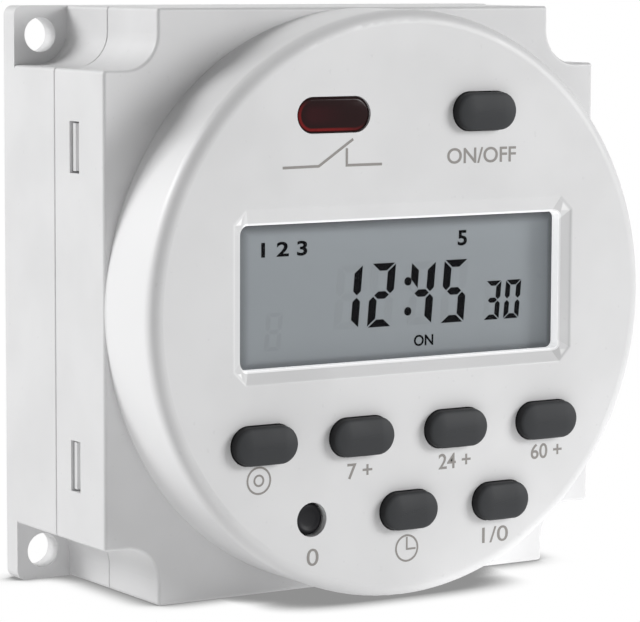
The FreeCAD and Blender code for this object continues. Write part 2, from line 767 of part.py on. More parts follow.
def add_latch_slots(body):
    """Slots through the side walls that the rear case's latches snap into."""

    def draw(sketch):
        for side, end in LATCHES:
            add_rectangle(sketch, side * (half_side - d.case_wall / 2), end * latch_reach,
                          d.case_wall * 2, d.slot_width)

    cut(body, "latch_slots", slot_near, slot_far, draw)


def add_joint_groove(body):
    """A fine groove round the shell, where it meets the rear case."""

    def draw(sketch):
        add_rectangle(sketch, ZERO, ZERO, d.case_side + d.case_wall, d.case_side + d.case_wall)
        add_polygon(sketch, cross_outline(d.groove_depth))

    cut(body, "joint_groove", d.case_split, d.case_split + d.joint_groove, draw)


def rear_case():
    """Back shell with the mounting ears, board posts, locating lip, latches and blade slots."""
    body = new_body("rear_case")
    add(body, "ear_square", ZERO, d.ear_plate,
        lambda sketch: add_rectangle(sketch, ZERO, ZERO, d.case_side, d.case_side))
    round_edges(body, "ear_corners", d.ear_round, runs_in_depth)
    add(body, "rear_block", ZERO, d.case_split, lambda sketch: add_polygon(sketch, cross_outline(ZERO)))
    round_edges(body, "rear_notch_corners", d.notch_round, at_notch)
    round_edges(body, "rear_case_corners", d.edge_round, at_convex_corner)
    round_edges(body, "rear_joint_edges", d.joint_round, lambda edge: lies_at_depth(edge, d.case_split))
    cut(body, "rear_cavity", d.rear_floor, d.case_split,
        lambda sketch: add_polygon(sketch, cross_outline(d.case_wall)))

    def holes(sketch):
        for across in (-1, 1):
            for up in (-1, 1):
                add_circle(sketch, across * hole_reach, up * hole_reach, d.hole_radius)

    cut(body, "mounting_holes", ZERO, d.ear_plate, holes)
    add_posts(body)
    add_lip(body)
    add_latches(body)

    def slots(sketch):
        for across in BLADES:
            add_rectangle(sketch, across, -blade_drop, blade_slot_width, blade_slot_height)

    cut(body, "blade_slots", ZERO, d.rear_floor, slots)
    cut(body, "label_recess", ZERO, d.label_depth,
        lambda sketch: add_rectangle(sketch, ZERO, d.label_rise, d.label_width, d.label_height))
    return body


def add_posts(body):
    def posts(sketch):
        for across, up in POSTS:
            add_circle(sketch, across, up, d.post_radius)

    def pilots(sketch):
        for across, up in POSTS:
            add_circle(sketch, across, up, d.screw_pilot)

    add(body, "board_posts", d.rear_floor, d.power_depth, posts)
    cut(body, "post_pilots", d.post_skin, d.power_depth, pilots)


def add_lip(body):
    """A lip inside the joint, rooted in the wall, that locates the front case."""
    root_start = d.case_split - d.lip_height

    def root(sketch):
        add_polygon(sketch, cross_outline(d.case_wall / 2))
        add_polygon(sketch, cross_outline(lip_inset + d.lip_wall))

    def lip(sketch):
        add_polygon(sketch, cross_outline(lip_inset))
        add_polygon(sketch, cross_outline(lip_inset + d.lip_wall))

    add(body, "lip_root", root_start, d.case_split, root)
    add(body, "lip", d.case_split, d.case_split + d.lip_height, lip)


def add_latches(body):
    """Four springy tongues that reach into the front case, each with a hook for its slot."""
    outer = half_side - lip_inset
    tongue_root = d.case_split - d.lip_height
    hook_start = slot_near + d.hook_play
    hook_tip = half_side - d.hook_recess

    def tongues(sketch):
        for side, end in LATCHES:
            add_rectangle(sketch, side * (outer - d.latch_thickness / 2), end * latch_reach,
                          d.latch_thickness, d.latch_width)

    add(body, "latch_tongues", tongue_root, slot_far + d.latch_thickness / 2, tongues)
    for index, (side, end) in enumerate(LATCHES):
        sketch = sketch_on(body, f"hook_{index}_sketch", "XY_Plane",
                           end * latch_reach - d.latch_width / 2)
        inside = side * (outer - d.latch_thickness / 2)
        add_polygon(sketch, [
            (inside, -hook_start), (side * hook_tip, -hook_start),
            (side * hook_tip, -(hook_start + d.latch_thickness / 2)),
            (side * outer, -slot_far), (inside, -slot_far),
        ])
        hook = body.newObject("PartDesign::Pad", f"hook_{index}")
        hook.Profile = sketch
        bind(hook, "Length", d.latch_width)
        document.recompute()


# Display, lamp and keys.


def lcd_window():
    """Clear pane, glued to the back of the dial face."""
    width = d.window_width + d.lens_lap * 2
    height = d.window_height + d.lens_lap * 2
    return labelled(slab("lcd_window", ZERO, d.window_rise, lens_back, face_back, width, height),
                     "lcd_window")


def lcd_panel():
    """Two glass plates; the rear one shows beyond the front one for its contacts."""
    plate_back = panel_front - d.panel_plate
    front_height = panel_height - d.panel_ledge * 2
    front = slab("front_plate", ZERO, d.window_rise, plate_back, panel_front,
                 panel_width, front_height)
    rear = slab("rear_plate", ZERO, d.window_rise, panel_back, plate_back,
                panel_width, panel_height)
    return fuse("lcd_panel", [front, rear])


def lcd_frame():
    """Moulded frame that holds the display glass and its contact strips on the board."""
    inner_width = panel_width + d.frame_fit * 2
    inner_height = panel_height + d.frame_fit * 2
    centre = (ZERO, d.window_rise)
    block = slab("frame_block", *centre, control_front, face_back - d.frame_gap,
                 inner_width + d.frame_wall * 2, inner_height + d.frame_wall * 2)
    outer = round_part("frame_outer", block, d.frame_round, runs_in_depth)
    well = slab("frame_well", *centre, panel_back, face_back, inner_width, inner_height)
    strip_room = d.strip_width + d.frame_fit * 2
    middle = slab("frame_middle", *centre, control_front, panel_back, strip_length,
                  panel_height - (d.strip_inset + strip_room + d.frame_wall) * 2)
    grooves = [
        slab(f"strip_groove_{index}", ZERO, centre[1] + side * strip_reach(),
             control_front, panel_back, strip_length + d.frame_fit * 2, strip_room)
        for index, side in enumerate((-1, 1))
    ]
    return remove("lcd_frame", outer, [well, middle, *grooves])


def strip_reach():
    return panel_height / 2 - d.strip_inset - d.frame_fit - d.strip_width / 2


def contact_strips():
    """Elastomer strips that join the display glass to the board."""
    return group("contact_strips", [
        slab(f"contact_strip_{index}", ZERO, d.window_rise + side * strip_reach(),
             control_front, panel_back, strip_length, d.strip_width)
        for index, side in enumerate((-1, 1))
    ])


def led_lens():
    """Red obround lens with a flange behind the dial face."""
    body = new_body("led_lens")
    flange = d.lamp_flange * 2
    front = d.face_depth - d.lamp_recess
    add(body, "lens_flange", flange_back, face_back,
        lambda sketch: add_slot(sketch, LAMP_X, LAMP_Z, d.lamp_length + flange, d.lamp_height + flange))
    add(body, "lens_body", flange_back, front,
        lambda sketch: add_slot(sketch, LAMP_X, LAMP_Z, d.lamp_length, d.lamp_height))
    return body


def indicator_led():
    """Small round lamp on two leads through the control board."""
    dome_centre = flange_back - d.led_gap - d.led_radius
    collar_back = control_front + d.led_radius / 2
    collar = rod("led_collar_disc", LAMP_X, LAMP_Z, collar_back, collar_back + d.led_radius / 2, d.led_collar)
    barrel = rod("led_barrel", LAMP_X, LAMP_Z, collar_back, dome_centre, d.led_radius)
    dome = document.addObject("Part::Sphere", "led_dome")
    bind(dome, "Radius", d.led_radius)
    bind(dome, "Placement.Base.x", LAMP_X)
    bind(dome, "Placement.Base.y", -dome_centre)
    bind(dome, "Placement.Base.z", LAMP_Z)
    leads = [
        rod(f"led_lead_{index}", LAMP_X + side * d.led_lead_pitch / 2, LAMP_Z,
            control_depth - d.link_stub, collar_back + d.lead_radius, d.lead_radius)
        for index, side in enumerate((-1, 1))
    ]
    return fuse("indicator_led", [collar, barrel, dome, *leads])


def key_cap(label, length, across, up):
    """A key: rounded cap, flange behind the dial face, and a plunger down to its contact."""
    body = new_body(label)
    centre = (ZERO, ZERO)
    cap_front = d.face_depth + d.key_proud
    flange = d.key_flange * 2
    add(body, f"{label}_cap", flange_back, cap_front,
        lambda sketch: add_slot(sketch, *centre, length, d.key_height))
    round_edges(body, f"{label}_top", d.key_round, lambda edge: lies_at_depth(edge, cap_front))
    add(body, f"{label}_flange", flange_back, flange_front,
        lambda sketch: add_slot(sketch, *centre, length + flange, d.key_height + flange))
    add(body, f"{label}_plunger", plunger_end, flange_back,
        lambda sketch: add_slot(sketch, *centre, length - d.plunger_inset_long * 2,
                                d.key_height - d.plunger_inset_high * 2))
    bind(body, "Placement.Base.x", across)
    bind(body, "Placement.Base.z", up)
    return body


def reset_key():
    """Small round key at the bottom of its hole, pressed with a pen."""
    body = new_body("reset_key")
    centre = (ZERO, ZERO)
    add(body, "reset_flange", flange_back, flange_front,
        lambda sketch: add_circle(sketch, *centre, d.reset_radius + d.key_flange))
    add(body, "reset_stem", plunger_end, d.face_depth - d.reset_recess,
        lambda sketch: add_circle(sketch, *centre, d.reset_radius))
    bind(body, "Placement.Base.x", RESET_X)
    bind(body, "Placement.Base.z", RESET_Z)
    return body


def key_contact(label, across, up):
    """Carbon contact under a key."""
    return labelled(rod(label, across, up, contact_rest, plunger_end, d.contact_radius), label)


def keypad_mat():
    """Rubber sheet on the control board, with a collar round each key's plunger."""
    body = new_body("keypad_mat")
    frame_width = panel_width + (d.frame_fit + d.frame_wall + d.mat_clearance) * 2
    frame_height = panel_height + (d.frame_fit + d.frame_wall + d.mat_clearance) * 2

    def plunger_slot(sketch, length, across, up, margin):
        add_slot(sketch, across, up, length - d.plunger_inset_long * 2 + margin * 2,
                 d.key_height - d.plunger_inset_high * 2 + margin * 2)

    def openings(sketch):
        for _, length, across, up in KEYS:
            plunger_slot(sketch, length, across, up, d.collar_gap)
        add_circle(sketch, RESET_X, RESET_Z, d.reset_radius + d.collar_gap)
        add_circle(sketch, LAMP_X, LAMP_Z, d.led_collar + d.mat_clearance)
        add_rectangle(sketch, ZERO, d.window_rise, frame_width, frame_height)

    def collars(sketch):
        for _, length, across, up in KEYS:
            plunger_slot(sketch, length, across, up, d.collar_gap)
            plunger_slot(sketch, length, across, up, d.collar_gap + d.collar_wall)
        add_circle(sketch, RESET_X, RESET_Z, d.reset_radius + d.collar_gap)
        add_circle(sketch, RESET_X, RESET_Z, d.reset_radius + d.collar_gap + d.collar_wall)

    def edge_notches(sketch):
        for across, up in BOSSES:
            add_circle(sketch, across, up, d.boss_radius + d.mat_clearance)
        add_rectangle(sketch, ZERO, link_rise, d.link_pitch * 5 + d.mat_clearance * 2,
                      d.link_spacer + d.mat_clearance * 2)

    add(body, "mat_sheet", control_front, mat_front,
        lambda sketch: add_circle(sketch, ZERO, ZERO, control_radius - d.mat_inset))
    cut(body, "mat_openings", control_front, mat_front, openings)
    cut(body, "mat_notches", control_front, mat_front, edge_notches)
    add(body, "mat_collars", mat_front, collar_front, collars)
    return body


# Control board and what it carries.


def control_board():
    """Round board with holes for its screws, the lamp leads and the link pins."""
    body = new_body("control_board")

    def holes(sketch):
        for across, up in BOSSES:
            add_circle(sketch, across, up, d.screw_clear)
        for across in LINKS:
            add_circle(sketch, across, link_rise, d.link_hole)
        for side in (-1, 1):
            add_circle(sketch, LAMP_X + side * d.led_lead_pitch / 2, LAMP_Z, d.link_hole)

    add(body, "control_disc", control_depth, control_front,
        lambda sketch: add_circle(sketch, ZERO, ZERO, control_radius))
    cut(body, "control_holes", control_depth, control_front, holes)
    return body


def control_board_screws():
    return group("control_board_screws", [
        screw(f"control_screw_{index}", across, up, control_depth, 1)
        for index, (across, up) in enumerate(BOSSES)
    ])


def timer_chip():
    """Epoxy dome over the bare timer chip, on the rear of the control board."""
    dome = document.addObject("Part::Ellipsoid", "chip_dome")
    dome.Placement.Rotation = Rotation(Vector(1, 0, 0), 90)
    bind(dome, "Radius1", d.chip_height)
    bind(dome, "Radius2", d.chip_radius)
    bind(dome, "Radius3", d.chip_radius)
    bind(dome, "Placement.Base.x", d.chip_x)
    bind(dome, "Placement.Base.y", -control_depth)
    bind(dome, "Placement.Base.z", d.chip_z)
    room = slab("chip_room", d.chip_x, d.chip_z, control_depth - d.chip_height * 2, control_depth,
                d.chip_radius * 3, d.chip_radius * 3)
    chip = document.addObject("Part::MultiCommon", "timer_chip")
    chip.Shapes = [dome, room]
    return labelled(chip, "timer_chip")


def clock_crystal():
    """Small can lying on the rear of the control board, with its two leads."""
    axis = control_depth - d.crystal_radius
    can = cross_rod("crystal_can", d.crystal_x, d.crystal_z, axis, d.crystal_length, d.crystal_radius)
    can_end = d.crystal_x + d.crystal_length / 2
    parts = [can]
    for index, side in enumerate((-1, 1)):
        up = d.crystal_z + side * d.crystal_radius / 2
        wire = d.lead_radius / 2
        parts.append(cross_rod(f"crystal_wire_{index}", can_end + d.lead_reach / 2, up, axis,
                               d.lead_reach, wire))
        parts.append(rod(f"crystal_leg_{index}", can_end + d.lead_reach - wire, up,
                         axis - wire, control_depth, wire))
    return fuse("clock_crystal", parts)


def backup_cell():
    """Rechargeable button cell on its tab, behind the control board."""
    front = control_depth - d.tab_thickness
    blank = rod("cell_blank", d.cell_x, d.cell_z, front - d.cell_thickness, front, d.cell_radius)
    return round_part("backup_cell", blank, d.cell_round, is_round)


def cell_tabs():
    """Welded tabs: one under the cell, one over it with a leg down to the board."""
    front = control_depth - d.tab_thickness
    rear = front - d.cell_thickness
    lower = slab("cell_tab_front", d.cell_x, d.cell_z, front, control_depth, d.tab_width, d.cell_radius)
    leg_z = d.cell_z - d.cell_radius - d.tab_clear
    strip_height = d.cell_radius + d.tab_clear + d.tab_width
    strip = slab("cell_tab_strip", d.cell_x, leg_z + strip_height / 2, rear - d.tab_thickness, rear,
                 d.tab_width, strip_height)
    leg = slab("cell_tab_leg", d.cell_x, leg_z + d.tab_thickness / 2, rear - d.tab_thickness,
               control_depth, d.tab_width, d.tab_thickness)
    return group("cell_tabs", [lower, fuse("cell_tab_rear", [strip, leg])])


def link_pins():
    """Square pins that join the two boards."""
    return group("link_pins", [
        slab(f"link_pin_{index}", across, link_rise, d.power_depth - d.link_stub,
             control_front + d.link_stub, d.link_side, d.link_side)
        for index, across in enumerate(LINKS)
    ])


def link_spacer():
    """Moulded strip that holds the link pins on the power board."""
    far = power_front + d.link_spacer
    strip = slab("link_strip", ZERO, link_rise, power_front, far, d.link_pitch * 5, d.link_spacer)
    holes = [
        slab(f"link_strip_hole_{index}", across, link_rise, power_front, far,
             d.link_side, d.link_side)
        for index, across in enumerate(LINKS)
    ]
    return remove("link_spacer", strip, holes)


# Power board and what it carries.


def power_board():
    """Board that fills the rear case, with holes for screws, blades and link pins."""
    body = new_body("power_board")

    def holes(sketch):
        for across, up in POSTS:
            add_circle(sketch, across, up, d.screw_clear)
        for across in LINKS:
            add_circle(sketch, across, link_rise, d.link_hole)
        for across in BLADES:
            for side in (-1, 1):
                up = side * d.pin_spread / 2 - blade_drop
                add_circle(sketch, across, up, d.pin_hole)

    add(body, "power_sheet", d.power_depth, power_front,
        lambda sketch: add_polygon(sketch, cross_outline(board_inset)))
    cut(body, "power_holes", d.power_depth, power_front, holes)
    return body


def power_board_screws():
    return group("power_board_screws", [
        screw(f"power_screw_{index}", across, up, power_front, -1)
        for index, (across, up) in enumerate(POSTS)
    ])


def terminal(label, across):
    """Blade terminal: tapered blade with a detent hole, shoulder, and two solder pins."""
    body = new_body(label)
    tip = -d.blade_length
    half_blade = d.blade_width / 2
    taper = d.blade_tip / 2
    shoulder = half_blade + d.blade_shoulder
    pin_out = (d.pin_spread + d.pin_width) / 2
    pin_in = (d.pin_spread - d.pin_width) / 2
    pin_end = power_front + d.pin_stub
    # The outline lies in the YZ plane: the first value is y, the second height.
    half = [
        (-tip, half_blade - taper), (-(tip + d.blade_tip), half_blade), (-d.rear_floor, half_blade),
        (-d.rear_floor, shoulder), (-d.power_depth, shoulder), (-d.power_depth, pin_out),
        (-pin_end, pin_out), (-pin_end, pin_in), (-d.power_depth, pin_in),
    ]
    other_half = [(depth, -height) for depth, height in reversed(half)]
    sketch = sketch_on(body, f"{label}_outline", "YZ_Plane", across - d.blade_thickness / 2)
    add_polygon(sketch, half + other_half)
    add_circle(sketch, -(tip + d.blade_eye_inset), ZERO, d.blade_eye)
    blade = body.newObject("PartDesign::Pad", f"{label}_blade")
    blade.Profile = sketch
    bind(blade, "Length", d.blade_thickness)
    bind(body, "Placement.Base.z", -blade_drop)
    document.recompute()
    return body


# Relay. "Along" is the distance from the relay's centre, towards its contact end.

relay_top = control_depth - d.relay_gap
relay_base_top = power_front + d.relay_base_height
yoke_foot_top = relay_base_top + d.yoke_thickness
resting_face = relay_top - d.relay_wall - d.finger_gap - d.finger_thickness - d.button_height
spring_top = resting_face - d.rest_play - d.button_height
armature_top = spring_top - d.blade_spring
armature_bottom = armature_top - d.armature_thickness
working_face = armature_top - d.button_height - d.contact_play
pole_face = armature_bottom - d.pole_gap
coil_top = pole_face - d.pole_thickness
hinge_depth = armature_bottom - d.armature_lift - d.yoke_thickness / 2


def along(distance):
    return relay_x + distance


def relay_base():
    """Moulded base with a foot for each fixed contact strip."""
    inside = (d.relay_wall + d.relay_fit) * 2
    return labelled(slab("relay_base", relay_x, d.relay_z, power_front, relay_base_top,
                          d.relay_length - inside, d.relay_width - inside), "relay_base")


def relay_cover():
    """Box that closes over the relay."""
    foot = power_front + d.relay_standoff
    blank = slab("relay_cover_blank", relay_x, d.relay_z, foot, relay_top, d.relay_length, d.relay_width)
    outer = round_part("relay_cover_outer", blank, d.relay_round, lambda edge: not lies_at_depth(edge, foot))
    inner = slab("relay_cover_room", relay_x, d.relay_z, foot, relay_top - d.relay_wall,
                 d.relay_length - d.relay_wall * 2, d.relay_width - d.relay_wall * 2)
    return remove("relay_cover", outer, [inner])


def relay_yoke():
    """Bent iron yoke with the core and its pole face. The armature rocks on its round end."""
    foot_length = core_x + d.pole_radius - yoke_x
    foot = slab("yoke_foot", along(yoke_x + foot_length / 2), d.relay_z, relay_base_top, yoke_foot_top,
                foot_length, d.yoke_width)
    upright_x = along(yoke_x + d.yoke_thickness / 2)
    upright = slab("yoke_upright", upright_x, d.relay_z, relay_base_top, hinge_depth, d.yoke_thickness,
                   d.yoke_width)
    edge = document.addObject("Part::Cylinder", "yoke_edge")
    bind(edge, "Radius", d.yoke_thickness / 2)
    bind(edge, "Height", d.yoke_width)
    bind(edge, "Placement.Base.x", upright_x)
    bind(edge, "Placement.Base.y", -hinge_depth)
    bind(edge, "Placement.Base.z", d.relay_z - d.yoke_width / 2)
    core = rod("yoke_core", along(core_x), d.relay_z, relay_base_top, pole_face, d.core_radius)
    pole = rod("yoke_pole", along(core_x), d.relay_z, coil_top, pole_face, d.pole_radius)
    return fuse("relay_yoke", [foot, upright, edge, core, pole])


def relay_coil():
    """Bobbin with its winding, round the core."""
    centre = (along(core_x), d.relay_z)
    winding = rod("coil_winding", *centre, yoke_foot_top, coil_top, d.coil_radius)
    flanges = [
        rod("coil_flange_0", *centre, yoke_foot_top, yoke_foot_top + d.bobbin_flange, d.flange_radius),
        rod("coil_flange_1", *centre, coil_top - d.bobbin_flange, coil_top, d.flange_radius),
    ]
    bore = rod("coil_bore", *centre, yoke_foot_top, coil_top, d.core_radius + d.bore_gap)
    return remove("relay_coil", fuse("coil_blank", [winding, *flanges]), [bore])


def relay_armature():
    """Iron plate that rocks on the yoke, with the contact spring and the moving contact."""
    plate = slab("armature_plate", along(yoke_x + d.armature_length / 2), d.relay_z,
                 armature_bottom, armature_top, d.armature_length, d.yoke_width)
    spring_start = core_x
    spring_length = contact_x + d.spring_tail - spring_start
    spring = slab("armature_spring", along(spring_start + spring_length / 2), d.relay_z,
                  armature_top, spring_top, spring_length, d.spring_width)
    buttons = rod("armature_contact", along(contact_x), d.relay_z, armature_top - d.button_height,
                  spring_top + d.button_height, d.button_radius)
    return fuse("relay_armature", [plate, spring, buttons])


def relay_contacts():
    """Two fixed contacts on strips from the base: one closed at rest, one closed when pulled in."""
    post_x = contact_x + d.button_radius + d.finger_thickness * 2
    reach = d.button_radius * 2 + d.finger_thickness * 2

    def fixed_contact(name, face, outward, post_z):
        strip_near, strip_far = face + outward * d.button_height, face + outward * (
            d.button_height + d.finger_thickness)
        depths = sorted((strip_near, strip_far), key=lambda size: size.value)
        strip = slab(f"{name}_strip", along(post_x - reach / 2), d.relay_z + post_z / 2,
                     *depths, reach, d.spring_width + abs_size(post_z))
        post = slab(f"{name}_post", along(post_x), d.relay_z + post_z,
                    relay_base_top, depths[1], d.finger_thickness, d.spring_width / 2)
        ends = sorted((face, strip_near), key=lambda size: size.value)
        button = rod(f"{name}_button", along(contact_x), d.relay_z, *ends, d.button_radius)
        return fuse(name, [strip, post, button])

    spread = d.spring_width * 0.75
    return group("relay_contacts", [
        fixed_contact("resting_contact", resting_face, 1, spread),
        fixed_contact("working_contact", working_face, -1, -spread),
    ])


def abs_size(size):
    return size if size.value >= 0 else -size


def film_capacitor():
    blank = slab("film_blank", (film_start + film_end) / 2, d.film_z, power_front, control_depth - d.film_gap,
                 film_end - film_start, d.film_width)
    return round_part("film_capacitor", blank, d.film_round,
                      lambda edge: not lies_at_depth(edge, power_front))


def smoothing_capacitor():
    """Round can with the rolled groove near its foot."""
    top = control_depth - d.can_gap
    blank = rod("can_blank", d.can_x, d.can_z, power_front, top, d.can_radius)
    can = round_part("can_rounded", blank, d.can_groove, is_round)
    groove = document.addObject("Part::Torus", "can_roll")
    groove.Placement.Rotation = Rotation(Vector(1, 0, 0), 90)
    bind(groove, "Radius1", d.can_radius + d.can_groove)
    bind(groove, "Radius2", d.can_groove * 2)
    bind(groove, "Placement.Base.x", d.can_x)
    bind(groove, "Placement.Base.y", -(power_front + d.can_radius / 2))
    bind(groove, "Placement.Base.z", d.can_z)
    return remove("smoothing_capacitor", can, [groove])


def varistor():
    """Disc standing on two leads."""
    centre_depth = power_front + d.disc_lift + d.disc_radius
    disc = document.addObject("Part::Cylinder", "varistor_blank")
    bind(disc, "Radius", d.disc_radius)
    bind(disc, "Height", d.disc_thickness)
    bind(disc, "Placement.Base.x", d.disc_x)
    bind(disc, "Placement.Base.y", -centre_depth)
    bind(disc, "Placement.Base.z", d.disc_z - d.disc_thickness / 2)
    rounded = round_part("varistor_disc", disc, d.disc_thickness / 4, is_round)
    leads = [
        rod(f"varistor_lead_{index}", d.disc_x + side * d.disc_radius / 2, d.disc_z,
            power_front, centre_depth, d.lead_radius)
        for index, side in enumerate((-1, 1))
    ]
    return fuse("varistor", [rounded, *leads])


def axial_part(name, across, up, length, radius):
    """A part lying on the power board with its two leads bent down to it."""
    axis = power_front + radius
    body = cross_rod(f"{name}_body", across, up, axis, length, radius)
    parts = [body, cross_rod(f"{name}_wire", across, up, axis, length + d.lead_reach * 2, d.lead_radius)]
    leg_reach = length / 2 + d.lead_reach - d.lead_radius
    for index, side in enumerate((-1, 1)):
        parts.append(rod(f"{name}_leg_{index}", across + side * leg_reach, up, power_front,
                         axis + d.lead_radius, d.lead_radius))
    return fuse(name, parts)


def resistors():
    return group("resistors", [
        axial_part(f"resistor_{index}", d.resistor_x, d.resistor_z + index * d.resistor_pitch,
                   d.resistor_length, d.resistor_radius)
        for index in range(3)
    ])


def diodes():
    return group("diodes", [
        axial_part(f"diode_{index}", d.diode_x, d.diode_z + index * d.diode_pitch,
                   d.diode_length, d.diode_radius)
        for index in range(4)
    ])


def transistor():
    """Flat-sided transistor on three leads."""
    foot = power_front + d.transistor_lift
    top = foot + d.transistor_height
    drum = rod("transistor_drum", d.transistor_x, d.transistor_z, foot, top, d.transistor_radius)
    width = d.transistor_radius * 2
    flat = slab("transistor_flat_side", d.transistor_x, d.transistor_z - d.transistor_flat - width / 2,
                foot, top, width, width)
    leads = [
        rod(f"transistor_lead_{index}", d.transistor_x + place * d.link_pitch / 2, d.transistor_z,
            power_front, foot + d.lead_radius, d.lead_radius)
        for index, place in enumerate((-1, 0, 1))
    ]
    return fuse("transistor", [remove("transistor_body", drum, [flat]), *leads])


subparts = [
    front_case(),
    rear_case(),
    lcd_window(),
    lcd_panel(),
    lcd_frame(),
    contact_strips(),
    led_lens(),
    indicator_led(),
    keypad_mat(),
    control_board(),
    control_board_screws(),
    timer_chip(),
    clock_crystal(),
    backup_cell(),
    cell_tabs(),
    link_pins(),
    link_spacer(),
    power_board(),
    power_board_screws(),
    relay_base(),
    relay_cover(),
    relay_yoke(),
    relay_coil(),
    relay_armature(),
    relay_contacts(),
    film_capacitor(),
    smoothing_capacitor(),
    varistor(),
    resistors(),
    diodes(),
    transistor(),
    reset_key(),
    key_contact("reset_contact", RESET_X, RESET_Z),
]
for key_label, key_size, key_x, key_z in KEYS:
    subparts.append(key_cap(key_label, key_size, key_x, key_z))
    subparts.append(key_contact(key_label.replace("_key", "_contact"), key_x, key_z))
for number, blade_x in enumerate(BLADES, start=1):
    subparts.append(terminal(f"terminal_{number}", blade_x))

document.recompute()
for item in document.Objects:
    if "Invalid" in item.State or "Error" in item.State:
        raise RuntimeError(f"{item.Label} failed")
for subpart in subparts:
    if subpart.Shape.isNull() or not subpart.Shape.isValid():
        raise RuntimeError(f"{subpart.Label} has no sound shape")

os.makedirs("parts", exist_ok=True)
for subpart in subparts:
    subpart.Shape.exportStep(f"parts/{subpart.Label}.step")
print(len(subparts), "sub-parts written")
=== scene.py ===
import json
import math

import bpy
from mathutils import Matrix, Vector


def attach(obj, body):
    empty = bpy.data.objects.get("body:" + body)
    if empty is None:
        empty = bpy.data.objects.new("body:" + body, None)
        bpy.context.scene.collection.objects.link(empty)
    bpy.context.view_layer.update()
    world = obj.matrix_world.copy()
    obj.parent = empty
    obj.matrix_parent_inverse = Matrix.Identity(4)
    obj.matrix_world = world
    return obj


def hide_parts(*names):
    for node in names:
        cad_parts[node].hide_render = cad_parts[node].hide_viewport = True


# Digital timer relay. Lengths are written in millimetres and multiplied by MM.
# X runs to the right of the display, Z up, and a "depth" of 20 is the plane y = -20 mm.

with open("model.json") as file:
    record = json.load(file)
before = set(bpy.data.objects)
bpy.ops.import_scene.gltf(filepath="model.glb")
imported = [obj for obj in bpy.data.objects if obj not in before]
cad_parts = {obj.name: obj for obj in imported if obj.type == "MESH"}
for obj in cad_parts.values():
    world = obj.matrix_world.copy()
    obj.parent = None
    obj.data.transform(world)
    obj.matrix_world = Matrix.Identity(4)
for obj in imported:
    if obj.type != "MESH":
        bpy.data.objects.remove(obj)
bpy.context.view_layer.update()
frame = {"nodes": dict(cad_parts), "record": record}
bpy.ops.object.select_all(action="DESELECT")
MM = 0.001

# Depths.
CASE_FRONT = 21.5
PLUNGER_END = 24.6
DISPLAY = 27.6
FLANGE_BACK = 27.65
FACE_BACK = 28.75
RESET_TOP = 29.95
LENS_RIM = 30.37
FACE = 30.65
KEY_TOP = 32.05

# The dial's layout, from its centre, with its buttons in three rows.
TOP_ROW, KEY_ROW, LOW_ROW = 19.52, -12.9, -20.92
TOP_REACH, LOW_REACH, KEY_PITCH = 9.0, 11.45, 11.5
LONG_KEY, SHORT_KEY, KEY_HEIGHT = 7.22, 6.53, 3.88
RESET_STEM = 3.1
FLANGE, FLANGE_LAP = 1.0, 0.7
LENS_LENGTH, LENS_HEIGHT, LENS_LAP = 8.55, 3.55, 0.8
LENS_PLACE = (-TOP_REACH, TOP_ROW)
WINDOW_WIDTH, WINDOW_HEIGHT, WINDOW_CORNER, WINDOW_RISE = 38.8, 14.4, 0.75, 1.62
BLADE_PITCH = 9.7


# Materials.


class Signal:
    """A value inside a material. Arithmetic on it adds the Math nodes."""

    def __init__(self, paint, socket):
        self.paint = paint
        self.socket = socket

    def math(self, operation, *others):
        return self.paint.node("Math", {"operation": operation}, dict(enumerate((self, *others))))

    def __add__(self, other):
        return self.math("ADD", other)

    def __radd__(self, other):
        return self.math("ADD", other)

    def __sub__(self, other):
        return self.math("SUBTRACT", other)

    def __rsub__(self, other):
        return self.paint.node("Math", {"operation": "SUBTRACT"}, {0: other, 1: self})

    def __mul__(self, other):
        return self.math("MULTIPLY", other)

    def __rmul__(self, other):
        return self.math("MULTIPLY", other)

    def __abs__(self):
        return self.math("ABSOLUTE")

    def at_least(self, other):
        return self.math("MAXIMUM", other)

    def length_with(self, other):
        return (self * self + other * other).math("SQRT")

    def ramp(self, start, end):
        """Smoothly 0 at start and 1 at end, which may be below start."""
        low, high = (start, end) if start < end else (end, start)
        step = self.paint.node(
            "MapRange", {"interpolation_type": "SMOOTHSTEP"},
            {"Value": self, "From Min": low, "From Max": high, "To Min": 0.0, "To Max": 1.0})
        return step if start < end else 1 - step


